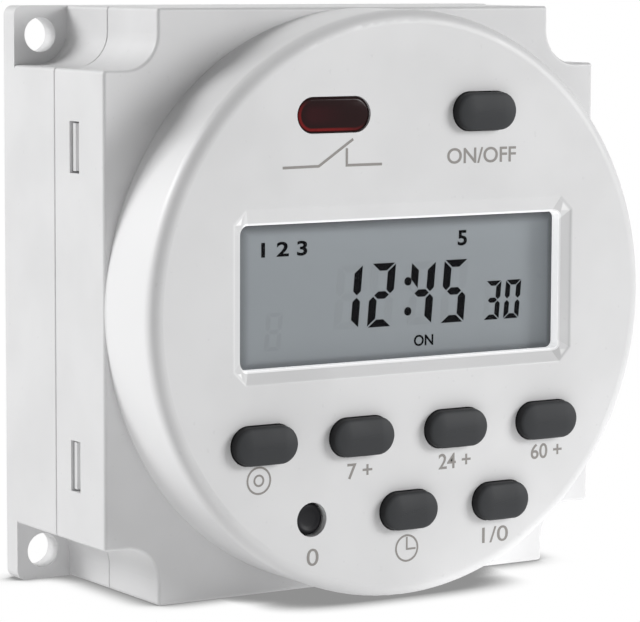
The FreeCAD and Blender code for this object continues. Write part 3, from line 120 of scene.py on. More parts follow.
class Paint:
    """A material in the making."""

    def __init__(self, name, colour, roughness, **fixed):
        self.material = bpy.data.materials.new(name)
        self.material.use_nodes = True
        self.tree = self.material.node_tree
        self.shader = self.tree.nodes["Principled BSDF"]
        self.shade = (*colour, 1)
        self.normal = None
        self.set("Base Color", self.shade)
        self.set("Roughness", roughness)
        for socket, value in fixed.items():
            self.set(socket.replace("_", " ").title().replace("Ior", "IOR"), value)

    def node(self, kind, settings=None, inputs=None, output=0):
        node = self.tree.nodes.new("ShaderNode" + kind)
        for name, value in (settings or {}).items():
            setattr(node, name, value)
        for name, value in (inputs or {}).items():
            self.join(value, node.inputs[name])
        return Signal(self, node.outputs[output])

    def join(self, value, socket):
        if isinstance(value, Signal):
            self.tree.links.new(value.socket, socket)
        else:
            socket.default_value = value

    def set(self, name, value):
        self.join(value, self.shader.inputs[name])

    def finish(self, surface):
        """Makes another shader than the main one the surface."""
        self.join(surface, self.tree.nodes["Material Output"].inputs["Surface"])

    def place(self):
        """Object coordinates, in metres."""
        return self.node("TexCoord", output="Object")

    def axes(self):
        """Object coordinates in millimetres, one signal each."""
        split = self.node("SeparateXYZ", inputs={0: self.place()})
        return [Signal(self, socket) * 1000 for socket in split.socket.node.outputs]

    def noise(self, size, detail=2.0, roughness=0.5, stretch=None):
        """Noise from 0 to 1 with features of the size in millimetres."""
        place = self.place()
        if stretch:
            place = self.node("Mapping", inputs={"Vector": place, "Scale": stretch})
        return self.node("TexNoise", inputs={"Vector": place, "Scale": 1000 / size, "Detail": detail,
                                             "Roughness": roughness})

    def blend(self, factor, first, second):
        """A colour between two colours."""
        ends = [end if isinstance(end, Signal) else (*end[:3], 1) for end in (first, second)]
        return self.node("Mix", {"data_type": "RGBA"}, {0: factor, 6: ends[0], 7: ends[1]}, output=2)

    def vary(self, mask, shade, amount):
        """Moves the base colour towards a shade, by the mask times the amount."""
        self.shade = self.blend(mask * amount, self.shade, shade)
        self.set("Base Color", self.shade)

    def bump(self, height, depth):
        """Raises the surface by the height signal, at most by the depth in millimetres."""
        inputs = {"Height": height, "Strength": 1.0, "Distance": depth * MM}
        if self.normal:
            inputs["Normal"] = self.normal
        self.normal = self.node("Bump", inputs=inputs)
        self.set("Normal", self.normal)


def tinted(colour, factor):
    """The colour made lighter or darker by the factor."""
    return tuple(min(1.0, part * factor) for part in colour)


def moulded(name, colour, roughness=0.4, grain=0.12, depth=0.003, **fixed):
    """Moulded plastic or rubber: a fine spark-eroded grain, faint clouding, and handled patches."""
    paint = Paint(name, colour, roughness, **fixed)
    cloud = paint.noise(14, 3)
    paint.vary(cloud.ramp(0.35, 0.7), tinted(colour, 0.93), 1.0)
    specks = paint.noise(0.7, 1).ramp(0.72, 0.8)
    paint.vary(specks, tinted(colour, 0.8), 0.25)
    paint.set("Roughness", paint.noise(5, 4).ramp(0.3, 0.75) * 0.1 + roughness - 0.05)
    paint.bump(paint.noise(grain, 3, 0.6), depth)
    return paint


def metal(name, colour, roughness=0.3, stretch=(1, 1, 12), **fixed):
    """Rolled or plated metal with fine drawing lines and dull patches."""
    paint = Paint(name, colour, roughness, metallic=1.0, **fixed)
    lines = paint.noise(0.5, 3, 0.7, stretch)
    paint.vary(paint.noise(3, 4).ramp(0.4, 0.7), tinted(colour, 0.75), 0.6)
    paint.set("Roughness", lines * 0.18 + roughness - 0.05)
    paint.bump(lines, 0.002)
    return paint


def glossy(name, colour, roughness=0.15, **fixed):
    """Lacquered or poured surface with a slight orange peel."""
    paint = Paint(name, colour, roughness, coat_weight=0.4, coat_roughness=0.08, **fixed)
    paint.vary(paint.noise(2.5, 3).ramp(0.35, 0.75), tinted(colour, 0.8), 0.7)
    paint.set("Roughness", paint.noise(1.5, 2) * 0.12 + roughness)
    paint.bump(paint.noise(0.9, 2), 0.004)
    return paint


def circuit_board():
    """Solder mask over copper: darker between the tracks, with lighter patches."""
    paint = Paint("circuit board", (0.03, 0.19, 0.07), 0.3, coat_weight=0.5, coat_roughness=0.15)
    upright = paint.node("Mapping", inputs={"Vector": paint.place(), "Rotation": (math.pi / 2, 0, 0)})
    tracks = paint.node("TexBrick", {"offset": 0.5, "squash": 1.0}, {
        "Vector": upright, "Scale": 240.0, "Mortar Size": 0.03, "Mortar Smooth": 0.1,
        "Brick Width": 1.7, "Row Height": 0.35}, output=1)
    paint.vary(tracks, (0.015, 0.10, 0.035), 0.8)
    paint.vary(paint.noise(6, 3).ramp(0.4, 0.7), (0.05, 0.25, 0.10), 0.4)
    paint.set("Roughness", paint.noise(2, 3) * 0.15 + 0.22)
    paint.bump(1 - tracks, 0.03)
    return paint


def winding():
    """Enamelled copper wire, layer on layer round the Y axis."""
    paint = Paint("copper winding", (0.50, 0.17, 0.05), 0.3, metallic=0.8, coat_weight=0.6)
    _, depth, _ = paint.axes()
    turns = (depth * 9).math("FRACT")
    groove = abs(turns - 0.5) * 2
    # Painted shade in the grooves between the turns.
    paint.vary(groove.ramp(0.5, 1.0), (0.12, 0.03, 0.01), 0.9)
    paint.vary(paint.noise(0.8, 2).ramp(0.4, 0.7), (0.36, 0.11, 0.03), 0.5)
    paint.bump(1 - groove * groove, 0.05)
    return paint


def banded_resistor():
    """Lacquered body with plain colour bands across it."""
    paint = glossy("resistor lacquer", (0.55, 0.41, 0.25), 0.25)
    across, _, _ = paint.axes()
    for centre, colour in ((-17.2, (0.35, 0.02, 0.01)), (-16.0, (0.02, 0.02, 0.02)),
                           (-14.8, (0.45, 0.08, 0.01)), (-13.4, (0.45, 0.32, 0.08))):
        paint.vary(abs(across - centre).ramp(0.4, 0.3), colour, 1.0)
    return paint


def display_glass():
    """Grey reflective display behind its polariser, with a painted glow all over and painted shade round
    the edge of the active area.
    """
    paint = Paint("display glass", (0.215, 0.229, 0.242), 0.28, specular_ior_level=0.2)
    across, _, up = paint.axes()
    left, right, foot, top = -17.95, 20.1, -5.66, 8.62
    # Painted glow: the display emits light though it has no lamp.
    painted_glow = (0.1, 0.107, 0.114)
    paint.vary(paint.noise(9, 2).ramp(0.3, 0.7), (0.205, 0.218, 0.23), 0.5)
    # Painted shade round the edges of the active area, in both the base colour and the glow.
    shade = (left + 0.25 - across).ramp(-1.0, 0.25) * 0.45
    shade = shade.at_least((up + 0.3 - top).ramp(-1.0, 0.3) * 0.6)
    shade = shade.at_least((foot - up).ramp(-0.75, -0.1) * 0.35)
    shade = shade.at_least((across - right).ramp(-0.6, -0.1) * 0.45)
    paint.vary(shade, (0.03, 0.03, 0.033), 1.0)
    paint.set("Emission Color", paint.blend(shade, painted_glow, (0.02, 0.02, 0.022)))
    paint.set("Emission Strength", 1.0)
    paint.set("Roughness", paint.noise(3, 3) * 0.08 + 0.25)
    paint.bump(paint.noise(2.5, 2), 0.001)
    return paint


def window_plastic():
    """Clear pane: seen through, with a faint reflection on the sides that face out."""
    paint = Paint("clear window", (0.9, 0.92, 0.93), 0.05)
    clear = paint.node("BsdfTransparent", inputs={0: (0.98, 0.985, 0.985, 1)})
    sheen = paint.node("BsdfGlossy", inputs={"Color": (0.8, 0.8, 0.8, 1), "Roughness": 0.06})
    behind = paint.node("NewGeometry", output=6)
    grazing = paint.node("Fresnel", inputs={"IOR": 1.14}) * (1 - behind)
    paint.finish(paint.node("MixShader", inputs={0: grazing, 1: clear, 2: sheen}))
    return paint


def lamp_lens():
    """Deep red tinted lens, with a painted highlight in the edge of its step on the lower left and painted
    light over the left of its face.
    """
    paint = Paint("red lens", (0.016, 0.0025, 0.003), 0.25, specular_ior_level=0.12, coat_weight=0.05)
    across, _, up = paint.axes()
    x, z = across - LENS_PLACE[0], up - LENS_PLACE[1]
    reach = (abs(x) - (LENS_LENGTH - LENS_HEIGHT) / 2).at_least(0.0)
    edge = LENS_HEIGHT / 2 - reach.length_with(z)
    ring = edge.ramp(0.10, 0.24) * edge.ramp(0.55, 0.34)
    side = (0 - x * 0.16 - z * 0.45).ramp(-0.25, 0.75)
    # Painted highlight in the edge of the step, on the lower left.
    paint.vary(ring * side, (0.20, 0.008, 0.008), 1.0)
    # Painted light, lighter towards the left of the face.
    paint.vary(edge.ramp(0.5, 1.4) * (0 - x).ramp(-2.0, 2.5), (0.035, 0.004, 0.006), 0.8)
    paint.vary(paint.noise(0.9, 2).ramp(0.5, 0.8), (0.02, 0.004, 0.005), 0.3)
    paint.set("Roughness", paint.noise(0.6, 3) * 0.12 + 0.08)
    paint.bump(paint.noise(0.8, 2), 0.003)
    return paint


def case_plastic():
    """White moulded plastic. Painted highlights lie on the left of the dial's wall and on the lip, wall,
    right slope and corners of the window opening, with painted shade on the opening's left side.
    """
    paint = moulded("case plastic", (0.80, 0.80, 0.805), 0.42, 0.16, 0.0025)
    across, depth, up = paint.axes()
    edge = WINDOW_WIDTH / 2
    beside, above = abs(across) - edge, abs(up - WINDOW_RISE) - WINDOW_HEIGHT / 2
    beyond, past = ((gap + WINDOW_CORNER).at_least(0.0) for gap in (beside, above))
    beyond = beyond.length_with(past) - WINDOW_CORNER
    in_opening = depth.ramp(0.05 - FACE_BACK, -FACE_BACK)
    lip = beyond.ramp(0.26, 0.15) * beyond.ramp(-0.12, -0.04) * in_opening
    wall = beyond.ramp(0.06, 0.02) * lip
    slope = beyond.ramp(0.15, 0.25) * beyond.ramp(2.4, 2.2) * in_opening
    slope = slope * depth.ramp(0.06 - FACE, 0.2 - FACE)
    corner = beside.ramp(0.0, 0.2) * above.ramp(0.0, 0.2) * slope
    left_painted_shade = (0 - across).ramp(edge - 0.4, edge) * lip.at_least(slope) * (1 - corner)
    right_painted_light = across.ramp(edge, edge + 0.1) * slope
    dial_wall = across.length_with(up).ramp(29.4, 29.85)
    dial_wall = dial_wall * depth.ramp(-0.1 - CASE_FRONT, -0.4 - CASE_FRONT)
    # Painted highlight on the left of the dial's side wall.
    paint.vary(dial_wall * across.ramp(-21.0, -27.5), (0.91, 0.91, 0.915), 1.0)
    # Painted highlight on the lip of the opening, and painted shade on its left side.
    paint.vary(lip, (0.95, 0.95, 0.955), 1.0)
    paint.vary(left_painted_shade, (0.70, 0.70, 0.705), 1.0)
    # Painted glow on the lip, wall, right slope and corners of the opening, none on its left side.
    painted_glow = (0, 0, 0)
    for mask, light in ((lip, (0.14, 0.14, 0.145)), (wall, (0.42, 0.42, 0.425)),
                        (right_painted_light, (0.11, 0.11, 0.11)), (corner, (0.25, 0.25, 0.25)),
                        (left_painted_shade, (0, 0, 0))):
        painted_glow = paint.blend(mask, painted_glow, light)
    paint.set("Emission Color", painted_glow)
    paint.set("Emission Strength", 1.0)
    return paint


def key_rubber():
    """Dark grey rubber, nearly black in the shade of the hole."""
    paint = moulded("key rubber", (0.042, 0.044, 0.047), 0.55, 0.14, 0.004, specular_ior_level=0.22)
    _, depth, _ = paint.axes()
    paint.vary((0 - depth).ramp(KEY_TOP - 0.35, KEY_TOP - 0.68), (0.008, 0.008, 0.009), 0.85)
    return paint


FINISHES = {
    "case": case_plastic(),
    "window": window_plastic(),
    "lcd": display_glass(),
    "lcd_frame": moulded("display frame plastic", (0.72, 0.72, 0.70), 0.5),
    "contact_strip": moulded("contact strip rubber", (0.05, 0.05, 0.055), 0.6),
    "red_lens": lamp_lens(),
    "lamp": glossy("lamp resin", (0.5, 0.02, 0.015), 0.08),
    "key": key_rubber(),
    "reset_key": moulded("reset key plastic", (0.008, 0.008, 0.010), 0.5, specular_ior_level=0.2),
    "mat": moulded("keypad rubber", (0.42, 0.42, 0.41), 0.6, 0.2, 0.006),
    "carbon": moulded("carbon contact", (0.02, 0.02, 0.02), 0.7),
    "board": circuit_board(),
    "screw": metal("zinc plated steel", (0.55, 0.55, 0.56), 0.28),
    "epoxy": glossy("poured epoxy", (0.012, 0.012, 0.014), 0.2),
    "crystal": metal("plated can", (0.75, 0.76, 0.77), 0.18, (12, 1, 1)),
    "cell": metal("plated cell", (0.62, 0.62, 0.61)),
    "tab": metal("nickel strip", (0.66, 0.65, 0.62)),
    "pin": metal("plated brass pin", (0.72, 0.58, 0.30), 0.25, (1, 12, 1)),
    "black_moulding": moulded("black moulding", (0.02, 0.02, 0.022), 0.5),
    "relay_cover": moulded("relay cover plastic", (0.03, 0.09, 0.30)),
    "coil": winding(),
    "iron": metal("zinc plated iron", (0.45, 0.45, 0.45), 0.35),
    "contact": metal("spring brass", (0.70, 0.52, 0.28), 0.25),
    "film": glossy("film capacitor box", (0.62, 0.42, 0.03), 0.25),
    "can": glossy("capacitor sleeve", (0.03, 0.03, 0.08), 0.2),
    "varistor": glossy("dipped coating", (0.03, 0.12, 0.42), 0.25),
    "resistor": banded_resistor(),
    "blade": metal("tinned brass", (0.74, 0.70, 0.60), 0.25, (1, 1, 14)),
}
PRINT = moulded("grey print", (0.30, 0.285, 0.27), 0.55, 0.2, 0.002)
LIT = moulded("lit segment", (0.003, 0.003, 0.004), 0.6, 0.2, 0.0005, specular_ior_level=0.03)
# The unlit segments carry a painted glow like the display glass.
UNLIT = moulded("unlit segment", (0.185, 0.198, 0.208), 0.4, 0.2, 0.0005, specular_ior_level=0.2,
                emission_color=(0.11, 0.117, 0.124, 1), emission_strength=1.0)

for entry in frame["record"]["subparts"]:
    node = frame["nodes"][entry["node"]]
    node.data.materials.clear()
    node.data.materials.append(FINISHES[entry["material_slot"]].material)


# Modelling helpers.


def select_only(piece):
    bpy.ops.object.select_all(action="DESELECT")
    piece.select_set(True)
    bpy.context.view_layer.objects.active = piece


def settle(piece):
    """Moves the piece's place into its mesh."""
    select_only(piece)
    bpy.ops.object.transform_apply(location=True, rotation=True, scale=True)


def ready(piece, body, slot, paint, *nodes):
    """Gives a finished piece its material and its body, in place of the nodes."""
    piece.data.materials.clear()
    piece.data.materials.append(paint.material)
    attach(piece, body)
    if nodes:
        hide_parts(*nodes)
    piece.select_set(False)


def pick_faces(piece, chosen):
    """Selects the faces of the piece in edit mode that the test on their centre accepts."""
    bpy.ops.mesh.select_mode(type="FACE")
    bpy.ops.mesh.select_all(action="DESELECT")
    bpy.ops.object.mode_set(mode="OBJECT")
    for face in piece.data.polygons:
        face.select = chosen(face)
    bpy.ops.object.mode_set(mode="EDIT")


def pick_points(piece, chosen):
    """Selects the points of the piece in edit mode that the test on their place accepts."""
    bpy.ops.mesh.select_mode(type="VERT")
    bpy.ops.mesh.select_all(action="DESELECT")
    bpy.ops.object.mode_set(mode="OBJECT")
    for point in piece.data.vertices:
        point.select = chosen(point.co)
    bpy.ops.object.mode_set(mode="EDIT")


def start_slot(name, length, height, depth, steps=64):
    """A flat face with round ends, facing the front about the origin, left in edit mode."""
    bpy.ops.mesh.primitive_circle_add(vertices=steps, radius=height / 2 * MM, fill_type="NGON",
                                      rotation=(math.pi / 2, 0, 0), location=(0, -depth * MM, 0))
    piece = bpy.context.object
    piece.name = name
    settle(piece)
    bpy.ops.object.mode_set(mode="EDIT")
    reach = (length - height) / 2 * MM
    if reach > 0:
        for side in (-1, 1):
            pick_points(piece, lambda point: point.x * side > 1e-7)
            bpy.ops.transform.translate(value=(side * reach, 0, 0))
    bpy.ops.mesh.select_all(action="SELECT")
    return piece


def raise_face(distance):
    """Extrudes the picked face to the front by the distance in millimetres."""
    bpy.ops.mesh.extrude_region_move(TRANSFORM_OT_translate={"value": (0, -distance * MM, 0)})


def inset_face(width, rise=0.0):
    """Insets the picked face by the width and lifts it by the rise, both in millimetres."""
    bpy.ops.mesh.inset(thickness=width * MM, depth=rise * MM, use_boundary=True, use_even_offset=True)


def step_face(steps):
    for width, rise in steps:
        inset_face(width, rise)


def finish_shape(piece, angle=35):
    """Leaves edit mode with outward faces, smooth up to the angle."""
    bpy.ops.mesh.select_all(action="SELECT")
    bpy.ops.mesh.remove_doubles(threshold=1e-7)
    bpy.ops.mesh.normals_make_consistent(inside=False)
    bpy.ops.object.mode_set(mode="OBJECT")
    select_only(piece)
    bpy.ops.object.shade_smooth_by_angle(angle=math.radians(angle))


# Keys. Each one is a flange behind the face, a softly domed cap in front and a plunger at the back.


def dome(half_height, edge, crown):
    """Steps of (inset, rise) round a tight edge and on over a low crown."""
    spots = [(edge * (1 - math.cos(turn)), edge * math.sin(turn))
             for turn in (math.radians(degrees) for degrees in range(15, 76, 15))]
    start, level = spots[-1]
    for share in (0.12, 0.27, 0.45, 0.65, 0.86):
        spots.append((start + (half_height - start) * share, level + crown * (1 - (1 - share) ** 2)))
    previous = (0.0, 0.0)
    for spot in spots:
        yield spot[0] - previous[0], spot[1] - previous[1]
        previous = spot


def place_at(piece, across, up):
    piece.location = (across * MM, 0, up * MM)
    settle(piece)


def start_button(name, length, height, steps=64):
    """A flange behind the face. The outline of the button is picked on its front."""
    piece = start_slot(name, length + 2 * FLANGE_LAP, height + 2 * FLANGE_LAP, FLANGE_BACK, steps)
    raise_face(FLANGE)
    inset_face(FLANGE_LAP)
    return piece


def end_button(piece, inset, angle, across, up):
    """Adds the plunger behind the flange and puts the button in its place on the dial."""
    pick_faces(piece, lambda face: face.center.y > -(FLANGE_BACK + 0.01) * MM)
    inset_face(inset)
    raise_face(PLUNGER_END - FLANGE_BACK)
    finish_shape(piece, angle)
    place_at(piece, across, up)
    return piece


def make_key(name, length, across, up):
    piece = start_button(name, length, KEY_HEIGHT)
    edge, crown = 0.42, 0.26
    raise_face(KEY_TOP - edge - crown - FLANGE_BACK - FLANGE)
    step_face(dome(KEY_HEIGHT / 2, edge, crown))
    return end_button(piece, 1.5, 50, across, up)


KEYS = {
    "on_off": (LONG_KEY, TOP_REACH, TOP_ROW),
    "program": (LONG_KEY, -1.5 * KEY_PITCH, KEY_ROW),
    "day": (LONG_KEY, -0.5 * KEY_PITCH, KEY_ROW),
    "hour": (LONG_KEY, 0.5 * KEY_PITCH, KEY_ROW),
    "minute": (LONG_KEY, 1.5 * KEY_PITCH, KEY_ROW),
    "clock": (SHORT_KEY, 0.0, LOW_ROW),
    "recall": (SHORT_KEY, LOW_REACH, LOW_ROW),
}
for name, (length, across, up) in KEYS.items():
    key = make_key(f"{name}_button_cap", length, across, up)
    ready(key, f"{name}_button", "key", FINISHES["key"], f"{name}_key")


def make_reset_key():
    """A stem with a dished end for the tip of a pen."""
    piece = start_button("reset_button_stem", RESET_STEM, RESET_STEM, 48)
    raise_face(RESET_TOP - FLANGE_BACK - FLANGE)
    step_face(((0.05, 0.08), (0.12, 0.07), (0.25, 0.0), (0.12, -0.08), (0.3, -0.06)))
    return end_button(piece, 0.75, 40, -LOW_REACH, LOW_ROW)


def make_lens():
    """The lens stands on its flange, with a low step round its front."""
    piece = start_slot("lamp_lens", LENS_LENGTH + 2 * LENS_LAP, LENS_HEIGHT + 2 * LENS_LAP, FLANGE_BACK, 96)
    raise_face(FACE_BACK - FLANGE_BACK)
    inset_face(LENS_LAP)
    raise_face(LENS_RIM - FACE_BACK)
    step_face(((0.03, 0.03), (0.09, 0.0), (0.03, 0.05), (0.07, 0.06), (0.12, 0.02)))
    finish_shape(piece, 40)
    place_at(piece, *LENS_PLACE)
    return piece


ready(make_reset_key(), "reset_button", "reset_key", FINISHES["reset_key"], "reset_key")
ready(make_lens(), "timer", "red_lens", FINISHES["red_lens"], "led_lens")


# Print and display segments: thin flat pieces, drawn as outlines of (across, up) in millimetres.


def flat_piece(name, outlines, depth, thickness=0.02, facing=-1):
    """A filled flat piece. An outline inside another one is a hole in it."""
    curve = bpy.data.curves.new(name, "CURVE")
    curve.dimensions = "2D"
    curve.fill_mode = "BOTH"
    curve.extrude = thickness / 2 * MM
    for outline in outlines:
        spline = curve.splines.new("POLY")
        spline.points.add(len(outline) - 1)
        for point, (across, up) in zip(spline.points, outline):
            point.co = (-facing * across * MM, up * MM, 0, 1)
        spline.use_cyclic_u = True
    piece = bpy.data.objects.new(name, curve)
    bpy.context.scene.collection.objects.link(piece)
    select_only(piece)
    bpy.ops.object.convert(target="MESH")
    return stand_up(piece, depth, facing)


def stand_up(piece, depth, facing=-1):
    """Turns a flat mesh to face the front (-1) or the back (1) at the depth."""
    turn = Matrix.Rotation(math.pi / 2, 4, "X")
    if facing > 0:
        turn = Matrix.Rotation(math.pi, 4, "Z") @ turn
    piece.matrix_world = Matrix.Translation((0, -depth * MM, 0)) @ turn
    settle(piece)
    return piece


def words(name, text, across, up, width, height, depth, facing=-1, weight=0.012):
    """Plain lettering, stretched to the width and height about its centre."""
    bpy.ops.object.text_add()
    piece = bpy.context.object
    piece.name = name
    piece.data.body = text
    piece.data.extrude = 0.01
    piece.data.offset = weight
    select_only(piece)
    bpy.ops.object.convert(target="MESH")
    points = [point.co for point in piece.data.vertices]
    low = [min(point[axis] for point in points) for axis in (0, 1)]
    high = [max(point[axis] for point in points) for axis in (0, 1)]
    scale = (width * MM / (high[0] - low[0]), height * MM / (high[1] - low[1]), MM)
    middle = [(low[axis] + high[axis]) / 2 * scale[axis] for axis in (0, 1)]
    piece.scale = scale
    piece.location = (-facing * across * MM - middle[0], up * MM - middle[1], 0)
    settle(piece)
    return stand_up(piece, depth, facing)


def circle(across, up, radius, steps=48):
    return [(across + radius * math.cos(2 * math.pi * step / steps),
             up + radius * math.sin(2 * math.pi * step / steps)) for step in range(steps)]


def ring(across, up, radius, width):
    """The outer and the inner outline of a ring."""
    return [circle(across, up, radius), circle(across, up, radius - width)]


def stroke(points, width):
    """The outline of an open line of the width, with mitred corners."""
    sides = []
    for side in (1, -1):
        line = []
        for index, point in enumerate(points):
            here = Vector(point)
            before = (here - Vector(points[index - 1])).normalized() if index else None
            after = (Vector(points[index + 1]) - here).normalized() if index < len(points) - 1 else None
            first, second = before or after, after or before
            across = Vector((-first.y - second.y, first.x + second.x)).normalized()
            reach = width / 2 / max(0.3, across.dot(Vector((-first.y, first.x))))
            line.append(tuple(here + across * side * reach))
        sides.append(line if side > 0 else line[::-1])
    return sides[0] + sides[1]


def joined(pieces, name):
    """Makes one piece of several."""
    bpy.ops.object.select_all(action="DESELECT")
    for piece in pieces:
        piece.select_set(True)
    bpy.context.view_layer.objects.active = pieces[0]
    if len(pieces) > 1:
        bpy.ops.object.join()
    pieces[0].name = name
    return pieces[0]


FACE_PRINT = FACE + 0.005
lettering = [
    words("print_on_off", "ON/OFF", 8.95, 15.02, 8.6, 1.6, FACE_PRINT),
    words("print_day", "7 +", -5.75, -16.42, 3.0, 1.6, FACE_PRINT),
    words("print_hour", "24 +", 5.9, -16.32, 4.0, 1.6, FACE_PRINT),
    words("print_minute", "60 +", 17.6, -16.22, 4.0, 1.6, FACE_PRINT),
    words("print_reset", "0", -11.35, -24.74, 1.4, 1.75, FACE_PRINT, weight=0.002),
    words("print_recall", "1/0", 11.1, -24.5, 3.3, 1.65, FACE_PRINT, weight=0.004),
]
ready(joined(lettering, "face_lettering"), "timer", "case", PRINT)
symbols = [
    flat_piece("print_contact_arm", [stroke([(-15.0, 14.42), (-10.8, 14.47), (-6.75, 17.06)], 0.27)],
               FACE_PRINT),
    flat_piece("print_contact_stop", [stroke([(-7.5, 16.17), (-7.5, 14.47), (-3.3, 14.47)], 0.27)],
               FACE_PRINT),
    flat_piece("print_program", [
        *ring(-17.67, -16.44, 1.42, 0.2), *ring(-17.67, -16.44, 0.62, 0.2)], FACE_PRINT),
    flat_piece("print_clock", ring(0.03, -24.9, 1.42, 0.2), FACE_PRINT),
    flat_piece("print_clock_hands", [stroke([(0.03, -23.75), (0.03, -25.0), (1.11, -25.0)], 0.2)],
               FACE_PRINT),
]
ready(joined(symbols, "face_symbols"), "timer", "case", PRINT)

# The strokes of each figure: a is the top, then clockwise to f, and g is the bar in the middle.
STROKES = {"0": "abcdef", "1": "bc", "2": "abdeg", "3": "abcdg", "4": "bcfg", "5": "acdfg", "8": "abcdefg"}


def segments(width, height, across, up, gap):
    """The seven strokes of a digit from its lower left corner. Strokes are across wide and up high."""
    middle = height / 2
    point = across * 0.45
    top = [(gap, height), (width - gap, height), (width - across - gap, height - up),
           (across + gap, height - up)]
    side = [(width, height - gap), (width, middle + gap + point), (width - across / 2, middle + gap),
            (width - across, middle + gap + point), (width - across, height - up - gap)]
    bar = [(across / 2 + gap, middle), (across + gap, middle + up / 2),
           (width - across - gap, middle + up / 2), (width - across / 2 - gap, middle),
           (width - across - gap, middle - up / 2), (across + gap, middle - up / 2)]
    mirrored = [(width - x, z) for x, z in side]
    foot, low_side, low_mirrored = ([(x, height - z) for x, z in line] for line in (top, side, mirrored))
    return {"a": top, "b": side, "c": low_side, "d": foot, "e": low_mirrored, "f": mirrored, "g": bar}


def digit(figure, right, foot, size, lit=True):
    """Outlines of the lit or unlit strokes of one digit, leaning 5 degrees."""
    width, height, across, up, gap = size
    lean = math.tan(math.radians(5))
    return [
        [(right - width + x + z * lean, foot + z) for x, z in outline]
        for letter, outline in segments(width, height, across, up, gap).items()
        if (letter in STROKES[figure]) == lit
    ]


# Sizes are a digit's width and height, its strokes' thickness across and up, and the gap at their ends.
BIG = (2.95, 6.5, 0.92, 0.76, 0.12)
SMALL = (1.95, 4.05, 0.6, 0.52, 0.08)
FAINT = (1.9, 3.85, 0.5, 0.45, 0.1)
LIT_PLANE, UNLIT_PLANE = DISPLAY + 0.012, DISPLAY + 0.006
# Figure, right edge, foot and size.
DIGITS = [
    ("1", -4.08, -2.37, BIG), ("2", -0.04, -2.37, BIG), ("4", 4.9, -2.42, BIG), ("5", 8.95, -2.42, BIG),
    ("3", 13.44, -2.42, SMALL), ("0", 15.99, -2.42, SMALL),
]
lit = [outline for figure, right, foot, size in DIGITS for outline in digit(figure, right, foot, size)]
unlit = [outline for figure, right, foot, size in DIGITS
         for outline in digit(figure, right, foot, size, lit=False)]
unlit += digit("8", -13.34, -4.06, FAINT)
lit += [circle(2.01, 2.12, 0.44, 24), circle(2.01, -0.97, 0.44, 24)]
display_print = [
    flat_piece("lit_strokes", lit, LIT_PLANE),
    words("display_days", "1 2 3", -12.89, 6.1, 5.4, 1.5, LIT_PLANE, weight=0.025),
    words("display_day", "5", 8.75, 6.3, 1.15, 1.6, LIT_PLANE, weight=0.025),
    words("display_mode", "ON", 4.0, -4.06, 2.4, 1.15, LIT_PLANE, weight=0.02),
]
ready(joined(display_print, "lit_segments"), "timer", "lcd", LIT)
ready(flat_piece("unlit_segments", unlit, UNLIT_PLANE, 0.01), "timer", "lcd", UNLIT)

# A 1 is a plain bar, so it is narrower than the other numbers.
rear_numbers = [words(f"print_terminal_{number}", str(number), (number - 3) * BLADE_PITCH, -12.6,
                      0.4 if number == 1 else 1.3, 2.0, -0.005, facing=1) for number in range(1, 6)]
ready(joined(rear_numbers, "terminal_numbers"), "timer", "case", PRINT)


# Camera, light and floor.


def set_camera():
    """Low and to the left of the dial, from a third of a metre."""
    turn, lift, roll = math.radians(-32.47), math.radians(6.31), math.radians(0.23)
    back = Vector((math.sin(turn) * math.cos(lift), -math.cos(turn) * math.cos(lift), math.sin(lift)))
    level = (-back).cross(Vector((0, 0, 1))).normalized()
    upright = level.cross(-back)
    right = level * math.cos(roll) + upright * math.sin(roll)
    up = upright * math.cos(roll) - level * math.sin(roll)
    data = bpy.data.cameras.new("camera")
    data.lens = 176.38
    data.sensor_width = 36
    data.clip_start = 0.01
    camera = bpy.data.objects.new("camera", data)
    bpy.context.scene.collection.objects.link(camera)
    place = Matrix((right, up, back)).transposed().to_4x4()
    place.translation = Vector((-177.04, -292.23, 34.34)) * MM
    camera.matrix_world = place
    bpy.context.scene.camera = camera


def softbox(name, place, size, power):
    """A soft lamp that points at the timer. Its place and size are in metres, its power in watts."""
    data = bpy.data.lights.new(name, "AREA")
    data.shape = "RECTANGLE"
    data.size, data.size_y = size
    data.energy = power
    lamp = bpy.data.objects.new(name, data)
    bpy.context.scene.collection.objects.link(lamp)
    lamp.location = place
    lamp.rotation_euler = (-Vector(place)).to_track_quat("-Z", "Y").to_euler()


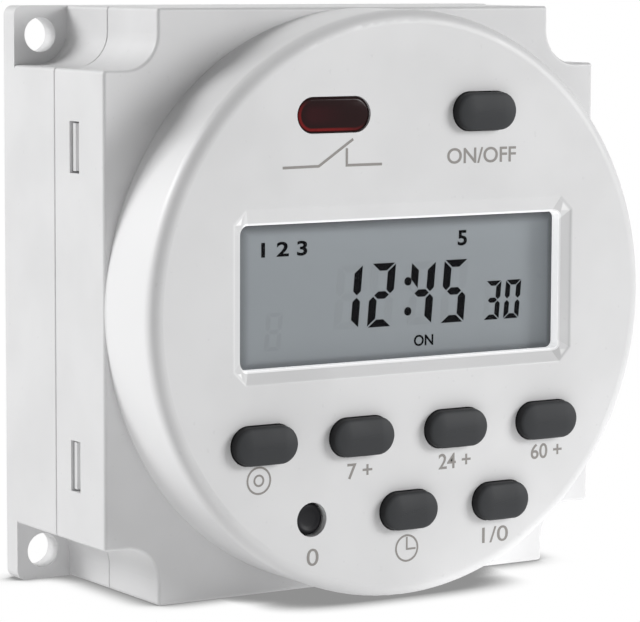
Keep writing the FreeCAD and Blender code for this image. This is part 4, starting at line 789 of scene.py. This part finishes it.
def plain_surroundings(strength):
    """An even white room. What the camera and reflections see of it is full white."""
    world = bpy.data.worlds.new("studio")
    bpy.context.scene.world = world
    world.use_nodes = True
    tree = world.node_tree
    ray = tree.nodes.new("ShaderNodeLightPath")
    seen = ray.outputs["Is Camera Ray"]
    for kind in ("Is Glossy Ray", "Is Transmission Ray"):
        either = tree.nodes.new("ShaderNodeMath")
        either.operation = "MAXIMUM"
        tree.links.new(seen, either.inputs[0])
        tree.links.new(ray.outputs[kind], either.inputs[1])
        seen = either.outputs[0]
    level = tree.nodes.new("ShaderNodeMapRange")
    level.inputs["To Min"].default_value = strength
    level.inputs["To Max"].default_value = 1.0
    tree.links.new(seen, level.inputs["Value"])
    tree.links.new(level.outputs["Result"], tree.nodes["Background"].inputs["Strength"])
    tree.nodes["Background"].inputs["Color"].default_value = (1, 1, 1, 1)


def pale_floor():
    """A white floor, with a soft shadow where the case stands on it.

    Only the timer sees the pool of light in front of the dial, which brightens the dial's foot.
    """
    bpy.ops.mesh.primitive_plane_add(size=6, location=(0, 0, -0.03002))
    floor = bpy.context.object
    floor.name = "floor"
    paint = Paint("floor", (0.86, 0.86, 0.86), 0.9, specular_ior_level=0.0)
    paint.vary(paint.noise(60, 3).ramp(0.4, 0.7), (0.84, 0.84, 0.84), 0.5)
    near = paint.node("AmbientOcclusion", {"samples": 16}, {"Distance": 0.0045}, output=1)
    seen = paint.node("LightPath", output="Is Camera Ray")
    for kind in ("Is Glossy Ray", "Is Transmission Ray"):
        seen = seen.at_least(paint.node("LightPath", output=kind))
    shadow = near.ramp(0.34, 0.97) * 0.72 + 0.28
    across, depth, _ = paint.axes()
    pool = (across - 28.0).length_with(depth + 46.0).ramp(48.0, 14.0) * 1.3 + 0.75
    painted_glow = paint.node("Emission", inputs={"Color": shadow.at_least(pool * (1 - seen)), "Strength": 1.0})
    matt = Signal(paint, paint.shader.outputs["BSDF"])
    paint.finish(paint.node("MixShader", inputs={0: seen.at_least(0.6), 1: matt, 2: painted_glow}))
    floor.data.materials.append(paint.material)


set_camera()
softbox("front light", (0.62, -0.60, 0.26), (0.35, 0.35), 4.3)
softbox("side light", (-0.64, 0.41, 0.45), (0.40, 0.40), 5.5)
plain_surroundings(0.12)
pale_floor()
bpy.context.scene.view_settings.view_transform = "Standard"
